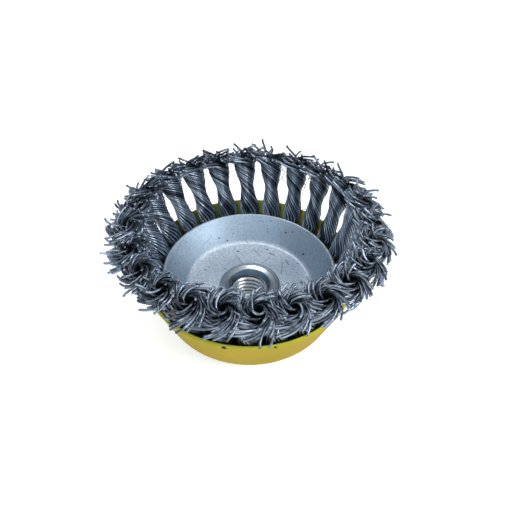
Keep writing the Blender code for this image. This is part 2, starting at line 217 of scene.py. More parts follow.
class NodeBench:
    """Places and wires the nodes of one material or one shader group."""

    def __init__(self, tree: bpy.types.NodeTree) -> None:
        """Start on an existing node tree."""
        self.tree = tree

    def add(self, kind: str, **settings: object) -> Node:
        """Add a node of a kind and set its properties.

        Args:
            kind: Blender's name of the kind.
            **settings: Properties by name.

        Returns:
            The node.
        """
        node = self.tree.nodes.new(kind)
        for key, value in settings.items():
            setattr(node, key, value)
        return node

    def feed(self, socket: Socket, value: Socket | float | tuple) -> None:
        """Link a socket to another, or set its value.

        Args:
            socket: The input.
            value: The socket or value that it gets.
        """
        if isinstance(value, bpy.types.NodeSocket):
            self.tree.links.new(value, socket)
        else:
            socket.default_value = value

    def math(self, operation: str, *values: Socket | float, clamp: bool = False) -> Socket:
        """Number worked out from one, two or three others.

        Args:
            operation: Blender's name of the operation.
            *values: Its operands.
            clamp: Whether the result is held between 0 and 1.

        Returns:
            The result.
        """
        node = self.add("ShaderNodeMath", operation=operation, use_clamp=clamp)
        for socket, value in zip(node.inputs, values):
            self.feed(socket, value)
        return node.outputs[0]

    def vector(self, operation: str, *values: Socket | tuple) -> Socket:
        """Vector, or number for a product, a distance or a length, worked out from others.

        Args:
            operation: Blender's name of the operation.
            *values: Its operands.

        Returns:
            The result.
        """
        node = self.add("ShaderNodeVectorMath", operation=operation)
        for socket, value in zip(node.inputs, values):
            self.feed(socket, value)
        number = operation in ("DOT_PRODUCT", "DISTANCE", "LENGTH")
        return node.outputs["Value" if number else "Vector"]

    def ramp(self, value: Socket, low: float, high: float) -> Socket:
        """Smooth step of a number from 0 at low to 1 at high.

        Args:
            value: The number.
            low: Where the step starts.
            high: Where it ends, which may be below low.

        Returns:
            The step.
        """
        node = self.add("ShaderNodeMapRange", interpolation_type="SMOOTHSTEP")
        self.feed(node.inputs["Value"], value)
        node.inputs["From Min"].default_value = low
        node.inputs["From Max"].default_value = high
        return node.outputs["Result"]

    def blend(self, factor: Socket | float, a: Socket | tuple, b: Socket | tuple) -> Socket:
        """Blend of two colours.

        Args:
            factor: Share of the second colour.
            a: The first colour.
            b: The second colour.

        Returns:
            The blended colour.
        """
        node = self.add("ShaderNodeMix", data_type="RGBA")
        self.feed(node.inputs[0], factor)
        self.feed(node.inputs[6], a)
        self.feed(node.inputs[7], b)
        return node.outputs[2]

    def position(self) -> Socket:
        """Object coordinates, which follow the surface."""
        return self.add("ShaderNodeTexCoord").outputs["Object"]

    def axis(self, vector: Socket, name: str) -> Socket:
        """One coordinate of a vector.

        Args:
            vector: The vector.
            name: X, Y or Z.

        Returns:
            The coordinate.
        """
        node = self.add("ShaderNodeSeparateXYZ")
        self.feed(node.inputs[0], vector)
        return node.outputs[name]

    def attribute(self, name: str) -> Socket:
        """Number that the mesh stores for each point."""
        return self.add("ShaderNodeAttribute", attribute_name=name).outputs["Fac"]

    def shaken(self, point: Socket, vector: Socket, scale: float,
               amount: tuple[float, float, float]) -> Socket:
        """Point moved by noise: the point plus the noise's colour times the amount.

        Args:
            point: The point to move.
            vector: The coordinates that the noise reads.
            scale: Scale of the noise.
            amount: Greatest move along each axis.

        Returns:
            The moved point.
        """
        node = self.add("ShaderNodeTexNoise")
        self.feed(node.inputs["Vector"], vector)
        node.inputs["Scale"].default_value = scale
        return self.vector("MULTIPLY_ADD", node.outputs["Color"], amount, point)

    def noise(self, vector: Socket, scale: float, detail: float = 3.0) -> Socket:
        """Soft cloud noise between 0 and 1.

        Args:
            vector: The coordinates that it reads.
            scale: Its scale, higher for smaller clouds.
            detail: Number of its finer layers.

        Returns:
            The noise.
        """
        node = self.add("ShaderNodeTexNoise")
        self.feed(node.inputs["Vector"], vector)
        node.inputs["Scale"].default_value = scale
        node.inputs["Detail"].default_value = detail
        return node.outputs["Fac"]


def rgba(color: Color) -> tuple[float, float, float, float]:
    """Colour with full opacity."""
    return (*color, 1.0)


class SurfaceEffects:
    """Shader groups that several finishes share, each built once."""

    def __init__(self) -> None:
        """Build the groups."""
        self.specks = self._specks()
        self.scratches = self._scratches()
        self.strokes = self._strokes()

    @staticmethod
    def _group(name: str, inputs: dict[str, float | tuple]) -> tuple[NodeBench, dict[str, Socket], Socket]:
        """Empty group with a Vector input, other inputs and a Mask output.

        Args:
            name: Name of the group.
            inputs: The other inputs and their defaults, numbers or triples.

        Returns:
            The group's bench, its inputs by name as they are read inside, and its Mask.
        """
        tree = bpy.data.node_groups.new(name, "ShaderNodeTree")
        tree.interface.new_socket("Vector", in_out="INPUT", socket_type="NodeSocketVector")
        for key, value in inputs.items():
            kind = "NodeSocketVector" if isinstance(value, tuple) else "NodeSocketFloat"
            socket = tree.interface.new_socket(key, in_out="INPUT", socket_type=kind)
            socket.default_value = value
        tree.interface.new_socket("Mask", in_out="OUTPUT", socket_type="NodeSocketFloat")
        bench = NodeBench(tree)
        source = bench.add("NodeGroupInput")
        given = {key: source.outputs[key] for key in ("Vector", *inputs)}
        return bench, given, bench.add("NodeGroupOutput").inputs["Mask"]

    def _strokes(self) -> bpy.types.NodeTree:
        """One stroke: the surface nearer than Width to the line from Start to its end.

        The nearest point of the line lies at the share (P - Start) . Run / Run . Run of its
        length, held between 0 and 1.

        Returns:
            The group.
        """
        bench, given, mask = self._group("strokes", {
            "Start": (0.0, 0.0, 0.0), "Run": (0.001, 0.0, 0.0), "Width": 0.0001,
        })
        away = bench.vector("SUBTRACT", given["Vector"], given["Start"])
        along = bench.vector("DOT_PRODUCT", away, given["Run"])
        whole = bench.vector("DOT_PRODUCT", given["Run"], given["Run"])
        share = bench.math("DIVIDE", along, whole, clamp=True)
        nearest = bench.add("ShaderNodeVectorMath", operation="SCALE")
        bench.feed(nearest.inputs[0], given["Run"])
        bench.feed(nearest.inputs["Scale"], share)
        gap = bench.vector("DISTANCE", away, nearest.outputs[0])
        inside = bench.math("SUBTRACT", 1.3, bench.math("DIVIDE", gap, given["Width"]))
        bench.feed(mask, bench.math("MULTIPLY", inside, 1.5, clamp=True))
        return bench.tree

    def _specks(self) -> bpy.types.NodeTree:
        """Dark specks: spots of random size near some of the points of a cell pattern.

        Returns:
            The group.
        """
        bench, given, mask = self._group("specks", {"Scale": 300.0, "Size": 0.18, "Share": 0.3})
        ragged = bench.shaken(given["Vector"], given["Vector"], 900.0, (1.2 * MM, 1.2 * MM, 1.2 * MM))
        cells = bench.add("ShaderNodeTexVoronoi", feature="F1")
        bench.feed(cells.inputs["Vector"], ragged)
        bench.feed(cells.inputs["Scale"], given["Scale"])
        pick = bench.add("ShaderNodeSeparateColor")
        bench.feed(pick.inputs[0], cells.outputs["Color"])
        chosen = bench.math("LESS_THAN", pick.outputs[0], given["Share"])
        size = bench.math("MULTIPLY", pick.outputs[1], given["Size"])
        inside = bench.math("SUBTRACT", size, cells.outputs["Distance"])
        edge = bench.math("MULTIPLY", inside, 22.0, clamp=True)
        bench.feed(mask, bench.math("MULTIPLY", edge, chosen))
        return bench.tree

    def _scratches(self) -> bpy.types.NodeTree:
        """Fine scratches: thin lines along the borders of a turned and stretched cell pattern.

        Returns:
            The group.
        """
        bench, given, mask = self._group("scratches", {"Scale": 60.0, "Width": 0.01, "Share": 0.4})
        stretch = bench.add("ShaderNodeMapping")
        bench.feed(stretch.inputs["Vector"], given["Vector"])
        stretch.inputs["Rotation"].default_value = (0.0, 0.0, 0.9)
        stretch.inputs["Scale"].default_value = (1.0, 0.22, 1.0)
        cells = bench.add("ShaderNodeTexVoronoi", feature="DISTANCE_TO_EDGE")
        bench.feed(cells.inputs["Vector"], stretch.outputs[0])
        bench.feed(cells.inputs["Scale"], given["Scale"])
        line = bench.math("LESS_THAN", cells.outputs["Distance"], given["Width"])
        cloud = bench.noise(given["Vector"], scale=130.0)
        limit = bench.math("SUBTRACT", 1.0, given["Share"])
        there = bench.math("GREATER_THAN", cloud, limit)
        bench.feed(mask, bench.math("MULTIPLY", line, there))
        return bench.tree


@dataclass(frozen=True)
class Finish:
    """Base of a finish: a material whose shader the finish feeds.

    Attributes:
        name: Name of the material.
        color: Main colour.
        roughness: Mean roughness.
        metallic: How metallic it is.
    """

    name: str
    color: Color
    roughness: float
    metallic: float

    def start(self) -> tuple[Material, NodeBench, Node]:
        """New material with its bench and its shader.

        Returns:
            The material, the bench and the shader.
        """
        material = bpy.data.materials.new(self.name)
        material.use_nodes = True
        bench = NodeBench(material.node_tree)
        shader = material.node_tree.nodes["Principled BSDF"]
        shader.inputs["Metallic"].default_value = self.metallic
        shader.inputs["Base Color"].default_value = rgba(self.color)
        return material, bench, shader

    def bump(self, bench: NodeBench, shader: Node, height: Socket, strength: float,
             distance: float) -> None:
        """Feed a height to the shader's normal.

        Args:
            bench: The material's bench.
            shader: The material's shader.
            height: The height.
            strength: Strength of the bump.
            distance: Depth of the bump.
        """
        node = bench.add("ShaderNodeBump")
        node.inputs["Strength"].default_value = strength
        node.inputs["Distance"].default_value = distance
        bench.feed(node.inputs["Height"], height)
        bench.feed(shader.inputs["Normal"], node.outputs["Normal"])


def use_group(bench: NodeBench, tree: bpy.types.NodeTree, vector: Socket,
              **values: float | tuple) -> Socket:
    """Place a shader group with its own values.

    Args:
        bench: The material's bench.
        tree: The group.
        vector: The coordinates it reads.
        **values: Its other inputs by name.

    Returns:
        The group's mask.
    """
    node = bench.add("ShaderNodeGroup", node_tree=tree)
    bench.feed(node.inputs["Vector"], vector)
    for key, value in values.items():
        node.inputs[key].default_value = value
    return node.outputs["Mask"]


@dataclass(frozen=True)
class ZincFinish(Finish):
    """Zinc plating: cloudy blue-grey metal with dark specks and fine scratches.

    Attributes:
        pale: Colour of the paler clouds.
        dark: Colour of specks and scratches.
        speck_share: Share of pattern cells that hold a speck.
        scratch_share: Share of the surface where scratches show.
        relief: Strength of the bump.
    """

    pale: Color = (0.52, 0.62, 0.72)
    dark: Color = (0.05, 0.055, 0.06)
    speck_share: float = 0.22
    scratch_share: float = 0.42
    relief: float = 0.12

    def tone(self, bench: NodeBench, place: Socket, cloud: Socket) -> Socket:
        """Clean plating: its colour with paler clouds.

        Args:
            bench: The material's bench.
            place: Object coordinates.
            cloud: Mask of the clouds.

        Returns:
            The colour.
        """
        return bench.blend(cloud, rgba(self.color), rgba(self.pale))

    def shade_and_marks(self, bench: NodeBench, effects: SurfaceEffects, place: Socket) -> Socket | float:
        """Mask of painted shade and of marks at set places, of which plain plating has none."""
        return 0.0

    def make(self, effects: SurfaceEffects) -> Material:
        """Build the material.

        Args:
            effects: The shared shader groups.

        Returns:
            The finished material.
        """
        material, bench, shader = self.start()
        place = bench.position()
        cloud = bench.ramp(bench.noise(place, scale=75.0, detail=6.0), 0.35, 0.68)
        grain = bench.ramp(bench.noise(place, scale=1150.0, detail=2.0), 0.36, 0.64)
        big = use_group(bench, effects.specks, place, Scale=330.0, Size=0.2, Share=self.speck_share)
        small = use_group(bench, effects.specks, place, Scale=900.0, Size=0.3,
                          Share=self.speck_share * 1.6)
        lines = use_group(bench, effects.scratches, place, Scale=85.0, Width=0.006,
                          Share=self.scratch_share)
        tone = self.tone(bench, place, cloud)
        duller = tuple(0.62 * c for c in self.color)
        grained = bench.blend(bench.math("MULTIPLY", grain, 0.3), tone, rgba(duller))
        faint = bench.math("MULTIPLY", lines, 0.4)
        scratched = bench.blend(faint, grained, rgba(self.dark))
        spots = bench.math("MAXIMUM", bench.math("MULTIPLY", big, 0.8),
                           bench.math("MULTIPLY", small, 0.5))
        # Specks, and on the dish its painted shadow and its marks, darken the colour.
        spots = bench.math("MAXIMUM", spots, self.shade_and_marks(bench, effects, place))
        bench.feed(shader.inputs["Base Color"], bench.blend(spots, scratched, rgba(self.dark)))
        rough = bench.math("MULTIPLY_ADD", cloud, 0.10, self.roughness)
        rough = bench.math("MULTIPLY_ADD", spots, 0.3, rough)
        bench.feed(shader.inputs["Roughness"], rough)
        relief = bench.math("SUBTRACT", grain, bench.math("MAXIMUM", spots, lines))
        self.bump(bench, shader, relief, self.relief, 0.00004)
        return material


@dataclass(frozen=True)
class DishFinish(ZincFinish):
    """Zinc plating of the dish: a marked flat below a bluish cone. The flat's warmer colour
    is a painted reflection, and the rim's paler edge a painted highlight.

    Attributes:
        flat_reflection_color: Colour of the flat, a painted reflection warmer than the cone.
        flat_reflection_pale: Colour of its paler clouds, in the same painted reflection.
        rim_light_color: Colour of the rim's edge, a paler band that is a painted highlight.
        flat_z: Height of the flat.
        rim_z: Height of the rim.
        shade_ring_radius: Radius of the dark line round the hub, a painted shadow.
        shade_ring_side: Direction, in the flat, in which that painted shadow is strongest.
        strokes: Marks of the flat in millimetres: x and y of both ends, and half width.
    """

    flat_reflection_color: Color = (0.66, 0.75, 0.85)
    flat_reflection_pale: Color = (0.80, 0.87, 0.94)
    rim_light_color: Color = (0.80, 0.86, 0.92)
    flat_z: float = 13.2 * MM
    rim_z: float = 22.5 * MM
    shade_ring_radius: float = 11.45 * MM
    shade_ring_side: tuple[float, float, float] = (0.85, 0.5, 0.0)
    strokes: tuple[tuple[float, float, float, float, float], ...] = ()

    def tone(self, bench: NodeBench, place: Socket, cloud: Socket) -> Socket:
        """Colour of the cone, blended to the flat's painted reflection below and to the rim's
        painted highlight above.

        Args:
            bench: The material's bench.
            place: Object coordinates.
            cloud: Mask of the clouds.

        Returns:
            The colour.
        """
        height = bench.axis(place, "Z")
        above = bench.ramp(height, self.flat_z + 0.3 * MM, self.flat_z + 1.5 * MM)
        # Painted reflection: the flat gets its own warmer colour below the cone.
        flat = bench.blend(cloud, rgba(self.flat_reflection_color), rgba(self.flat_reflection_pale))
        cone = bench.blend(above, flat, super().tone(bench, place, cloud))
        # Painted highlight: a pale band along the rim's edge.
        edge = bench.ramp(height, self.rim_z - 0.5 * MM, self.rim_z - 0.1 * MM)
        return bench.blend(edge, cone, rgba(self.rim_light_color))

    def shade_and_marks(self, bench: NodeBench, effects: SurfaceEffects, place: Socket) -> Socket:
        """Mask of the painted shadow round the hub, stronger on one side, and of the strokes.

        Noise shakes the strokes' edges. It lies between 0 and 1, so that each stroke's start is
        moved by half of its amount.

        Args:
            bench: The material's bench.
            effects: The shared shader groups.
            place: Object coordinates.

        Returns:
            The mask, which is 0 off the flat.
        """
        flat_place = bench.vector("MULTIPLY", place, (1.0, 1.0, 0.0))
        radius = bench.vector("LENGTH", flat_place)
        # Painted shadow: a dark ring at the lip's outer edge, strongest on one side.
        off = bench.math("ABSOLUTE", bench.math("SUBTRACT", radius, self.shade_ring_radius))
        ring = bench.ramp(off, 0.42 * MM, 0.12 * MM)
        side = bench.vector("DOT_PRODUCT", flat_place, self.shade_ring_side)
        strength = bench.ramp(side, -6.0 * MM, 9.0 * MM)
        strength = bench.math("MULTIPLY_ADD", strength, 0.7, 0.12)
        mask = bench.math("MULTIPLY", ring, strength)
        shake = 0.6
        ragged = bench.shaken(flat_place, place, 420.0, (shake * MM, shake * MM, 0.0))
        on_flat = bench.math("LESS_THAN", bench.axis(place, "Z"), self.flat_z + 0.6 * MM)
        for x0, y0, x1, y1, width in self.strokes:
            start = ((x0 + shake / 2.0) * MM, (y0 + shake / 2.0) * MM, 0.0)
            run = ((x1 - x0) * MM, (y1 - y0) * MM, 0.0)
            stroke = use_group(bench, effects.strokes, ragged, Start=start, Run=run, Width=width * MM)
            mask = bench.math("MAXIMUM", mask, bench.math("MULTIPLY", stroke, 0.6))
        return bench.math("MULTIPLY", mask, on_flat)


@dataclass(frozen=True)
class HubFinish(ZincFinish):
    """Turned zinc: a bright lip, painted shade in the mouth and in the thread's roots, and a
    painted highlight on the thread's crests.

    Attributes:
        lip_color: Colour of the rubbed lip.
        mouth_shade_color: Colour of the flared mouth, a painted shade of dark blue.
        crest_highlight_color: Colour of the thread's crests, as of the hub's underside, a painted
            highlight.
        root_shade_color: Colour of the painted shade in the thread's roots.
        mouth_z: Height at which the mouth begins below the lip.
        mouth_radius: Radius of the mouth's edge.
        thread_z: Height at which the thread begins.
        root_radius: Radius from which the thread's roots get painted shade.
    """

    lip_color: Color = (0.54, 0.58, 0.63)
    mouth_shade_color: Color = (0.17, 0.27, 0.35)
    crest_highlight_color: Color = (0.88, 0.92, 0.94)
    root_shade_color: Color = (0.03, 0.03, 0.035)
    mouth_z: float = 13.2 * MM
    mouth_radius: float = 8.4 * MM
    thread_z: float = 10.9 * MM
    root_radius: float = 6.65 * MM

    def tone(self, bench: NodeBench, place: Socket, cloud: Socket) -> Socket:
        """Colour by height for the lip, the mouth's painted shade and the thread's painted
        highlight, and by radius for the painted shade in the thread's roots.

        Args:
            bench: The material's bench.
            place: Object coordinates.
            cloud: Mask of the clouds.

        Returns:
            The colour.
        """
        soft = 0.2 * MM
        height = bench.axis(place, "Z")
        radius = bench.vector("LENGTH", bench.vector("MULTIPLY", place, (1.0, 1.0, 0.0)))
        lip = bench.ramp(height, self.mouth_z - 0.1 * MM, self.mouth_z + 0.1 * MM)
        base = bench.blend(lip, super().tone(bench, place, cloud), rgba(self.lip_color))
        # Painted shade: the flared mouth is darkened to a dark blue.
        below = bench.ramp(height, self.mouth_z + 0.05 * MM, self.mouth_z - 0.25 * MM)
        inner = bench.ramp(radius, self.mouth_radius + soft, self.mouth_radius - soft)
        above = bench.ramp(height, self.thread_z - soft, self.thread_z + soft)
        mouth = bench.math("MULTIPLY", bench.math("MULTIPLY", below, inner), above)
        flared = bench.blend(bench.math("MULTIPLY", mouth, 0.85), base, rgba(self.mouth_shade_color))
        # Painted highlight below the thread's top, and painted shade in the thread's roots.
        under = bench.math("SUBTRACT", 1.0, above)
        deep = bench.ramp(radius, self.root_radius - soft, self.root_radius + soft)
        root = bench.math("MULTIPLY", deep, under)
        bright = bench.blend(under, flared, rgba(self.crest_highlight_color))
        return bench.blend(bench.math("MULTIPLY", root, inner), bright, rgba(self.root_shade_color))


@dataclass(frozen=True)
class PaintFinish(Finish):
    """Satin yellow paint with small chips down to dark steel, painted light on the rim band
    and painted shade inside the bowl.

    Attributes:
        rim_light_color: Colour of the paint on the rolled rim, with painted light on its upward face.
        shaded_inside_color: Colour of the paint inside the bowl, a greener, lighter copy of the yellow
            painted for the look of the bowl's shade.
        inside_shadow_color: Green-black painted shadow inside, on the side away from the light.
        chip_color: Colour of the bare metal in the chips.
        rim_low: Height at which the rim band begins.
        rim_radius: Radius of the rim, which carries the chips.
        shadow_end: Distance to the right of the axis at which the painted shadow has faded out.
        shadow_full: Distance to the right of the axis within which it covers the inside.
        shadow_patch: How far noise moves those limits.
        chips: Azimuth in degrees, height and half size of each chip.
    """

    rim_light_color: Color = (0.42, 0.40, 0.02)
    shaded_inside_color: Color = (0.46, 0.42, 0.05)
    inside_shadow_color: Color = (0.25, 0.33, 0.09)
    chip_color: Color = (0.03, 0.028, 0.025)
    rim_low: float = 23.0 * MM
    rim_radius: float = 39.5 * MM
    shadow_end: float = 27.0 * MM
    shadow_full: float = 13.0 * MM
    shadow_patch: float = 16.0 * MM
    chips: tuple[tuple[float, float, float], ...] = ()

    def chip_mask(self, bench: NodeBench, place: Socket) -> Socket:
        """Ragged spots around the chips' places.

        Args:
            bench: The material's bench.
            place: Object coordinates.

        Returns:
            A mask that is 1 inside the chips.
        """
        ragged = bench.math("MULTIPLY_ADD", bench.noise(place, scale=1400.0, detail=4.0), 1.3, -0.65)
        mask: Socket | float = 0.0
        for azimuth, height, size in self.chips:
            turn = math.radians(azimuth)
            spot = (self.rim_radius * math.cos(turn), self.rim_radius * math.sin(turn), height)
            gap = bench.vector("DISTANCE", place, spot)
            near = bench.math("SUBTRACT", 1.0, bench.math("DIVIDE", gap, size))
            over = bench.math("SUBTRACT", bench.math("ADD", near, ragged), 0.1)
            inside = bench.math("MULTIPLY", over, 6.0, clamp=True)
            mask = bench.math("MAXIMUM", mask, inside)
        return mask

    def make(self, effects: SurfaceEffects) -> Material:
        """Build the material.

        Args:
            effects: The shared shader groups.

        Returns:
            The finished material.
        """
        material, bench, shader = self.start()
        place = bench.position()
        rim = bench.ramp(bench.axis(place, "Z"), self.rim_low, self.rim_low + 0.7 * MM)
        cloud = bench.ramp(bench.noise(place, scale=40.0, detail=5.0), 0.3, 0.7)
        duller = tuple(0.86 * c for c in self.color)
        tone = bench.blend(cloud, rgba(self.color), rgba(duller))
        # Painted shade inside the bowl: a greener copy of the paint, and a green-black painted shadow that
        # fades towards the lit right side.
        inside = bench.attribute("inside")
        cloudy = bench.noise(place, scale=110.0, detail=3.0)
        patches = bench.math("MULTIPLY_ADD", cloudy, self.shadow_patch, bench.axis(place, "X"))
        shadow_mask = bench.ramp(patches, self.shadow_end, self.shadow_full)
        inside_shading = bench.blend(shadow_mask, rgba(self.shaded_inside_color), rgba(self.inside_shadow_color))
        walls = bench.blend(inside, tone, inside_shading)
        # Painted light: the rim band, whose top faces up, gets a paler, greener yellow.
        banded = bench.blend(bench.math("MULTIPLY", rim, 0.8), walls, rgba(self.rim_light_color))
        dust = use_group(bench, effects.specks, place, Scale=260.0, Size=0.22, Share=0.12)
        chips = self.chip_mask(bench, place)
        bare = bench.math("MAXIMUM", chips, bench.math("MULTIPLY", dust, 0.5))
        bench.feed(shader.inputs["Base Color"], bench.blend(bare, banded, rgba(self.chip_color)))
        rough = bench.math("MULTIPLY_ADD", cloud, 0.08, self.roughness)
        bench.feed(shader.inputs["Roughness"], bench.math("MULTIPLY_ADD", bare, 0.3, rough))
        orange_peel = bench.noise(place, scale=700.0, detail=2.0)
        self.bump(bench, shader, bench.math("SUBTRACT", orange_peel, bare), 0.15, 0.00006)
        shader.inputs["Specular IOR Level"].default_value = 0.2
        return material


@dataclass(frozen=True)
class WireFinish(Finish):
    """Drawn spring wire: each wire has its own tone, with painted shade and light from its place,
    and the cut tips are paler.

    Attributes:
        pale: Colour of the palest wires.
        tip: Colour of the rubbed ends.
        rust: Colour of the few places where rust begins.
    """

    pale: Color = (0.38, 0.45, 0.54)
    tip: Color = (0.38, 0.45, 0.54)
    rust: Color = (0.24, 0.15, 0.10)

    def make(self, effects: SurfaceEffects) -> Material:
        """Build the material.

        Args:
            effects: The shared shader groups, which are not used here.

        Returns:
            The finished material.
        """
        material, bench, shader = self.start()
        place = bench.position()
        # The tone attribute holds each wire's random tone with painted shade and light from its place.
        tone = bench.attribute("tone")
        along = bench.attribute("tip")
        body = bench.blend(bench.ramp(tone, 0.1, 1.0), rgba(self.color), rgba(self.pale))
        patchy = bench.ramp(bench.noise(place, scale=500.0, detail=3.0), 0.3, 0.75)
        worn = bench.math("MULTIPLY", along, patchy)
        rubbed = bench.blend(worn, body, rgba(self.tip))
        rusty = bench.ramp(bench.noise(place, scale=160.0, detail=4.0), 0.62, 0.74)
        stained = bench.blend(bench.math("MULTIPLY", rusty, 0.6), rubbed, rgba(self.rust))
        bench.feed(shader.inputs["Base Color"], stained)
        rough = bench.math("MULTIPLY_ADD", bench.ramp(along, 0.0, 0.4), 0.08, self.roughness)
        bench.feed(shader.inputs["Roughness"], rough)
        return material


@dataclass(frozen=True)
class PlainSteelFinish(Finish):
    """Plain stamped steel with soft clouds and faint scratches."""

    def make(self, effects: SurfaceEffects) -> Material:
        """Build the material.

        Args:
            effects: The shared shader groups.

        Returns:
            The finished material.
        """
        material, bench, shader = self.start()
        place = bench.position()
        cloud = bench.noise(place, scale=90.0, detail=5.0)
        lines = use_group(bench, effects.scratches, place, Scale=70.0, Width=0.01, Share=0.5)
        darker = tuple(0.6 * c for c in self.color)
        tone = bench.blend(cloud, rgba(self.color), rgba(darker))
        worn = bench.blend(bench.math("MULTIPLY", lines, 0.5), tone, rgba(darker))
        bench.feed(shader.inputs["Base Color"], worn)
        bench.feed(shader.inputs["Roughness"], bench.math("MULTIPLY_ADD", cloud, 0.15, self.roughness))
        return material


@dataclass(frozen=True)
class Corner:
    """Corner of a turned profile: its radius from the axis, its height and its rounding."""

    radius: float
    height: float
    fillet: float = 0.0

    def point(self) -> Array:
        """The corner as an array."""
        return np.array([self.radius, self.height])


def rounded_profile(corners: list[Corner], steps: int) -> Array:
    """Closed profile with each corner rounded by an arc that touches both of its sides.

    The arc of radius f at a corner whose sides meet at the angle w starts f / tan(w / 2) from
    the corner, and its centre lies f / sin(w / 2) away along the middle line.

    Args:
        corners: The corners in order.
        steps: Number of spans in each arc.

    Returns:
        Array of profile points, radius and height.
    """
    pieces = []
    for i, corner in enumerate(corners):
        here = corner.point()
        if corner.fillet <= 0.0:
            pieces.append(here[None, :])
            continue
        back = unit(corners[i - 1].point() - here)
        ahead = unit(corners[(i + 1) % len(corners)].point() - here)
        half = math.acos(float(np.clip(back @ ahead, -1.0, 1.0))) / 2.0
        center = here + unit(back + ahead) * corner.fillet / math.sin(half)
        start = here + back * corner.fillet / math.tan(half) - center
        end = here + ahead * corner.fillet / math.tan(half) - center
        sweep = math.pi - 2.0 * half
        sign = 1.0 if start[0] * end[1] - start[1] * end[0] > 0.0 else -1.0
        turn = sign * sweep * np.linspace(0.0, 1.0, steps + 1)[:, None]
        side = np.array([-start[1], start[0]])
        pieces.append(center + np.cos(turn) * start + np.sin(turn) * side)
    return np.concatenate(pieces)


def split_long(profile: Array, longest: float, closed: bool = True) -> Array:
    """Profile with added points, evenly spaced, so that no span is longer than given.

    Args:
        profile: Radius and height of each point.
        longest: Greatest length of a span.
        closed: Whether the span from the last point back to the first is split too.

    Returns:
        Array of profile points, radius and height.
    """
    ahead = np.roll(profile, -1, axis=0)
    counts = np.maximum(1, np.ceil(np.linalg.norm(ahead - profile, axis=1) / longest)).astype(int)
    if not closed:
        counts[-1] = 1
    start = np.repeat(np.arange(len(profile)), counts)
    first = np.repeat(np.cumsum(counts) - counts, counts)
    share = ((np.arange(counts.sum()) - first) / counts[start])[:, None]
    return profile[start] * (1.0 - share) + ahead[start] * share


def turned_mesh(name: str, radius: Array, height: Array, steps: int) -> bpy.types.Mesh:
    """Closed turned surface: radius times cosine and sine of the azimuth, and height.

    Args:
        name: Name of the mesh.
        radius: Radius by row, in one column or in one for each step around.
        height: Height by row, in one column.
        steps: Points around.

    Returns:
        The mesh, with its last row joined to its first.
    """
    azimuth = TAU * np.arange(steps) / steps
    level = np.repeat(height, steps, axis=1)
    points = np.stack([radius * np.cos(azimuth), radius * np.sin(azimuth), level], axis=-1)
    quads = grid_quads(len(points), steps, True)
    return make_mesh(name, points.reshape(-1, 3), quads, np.empty((0, 3), int))


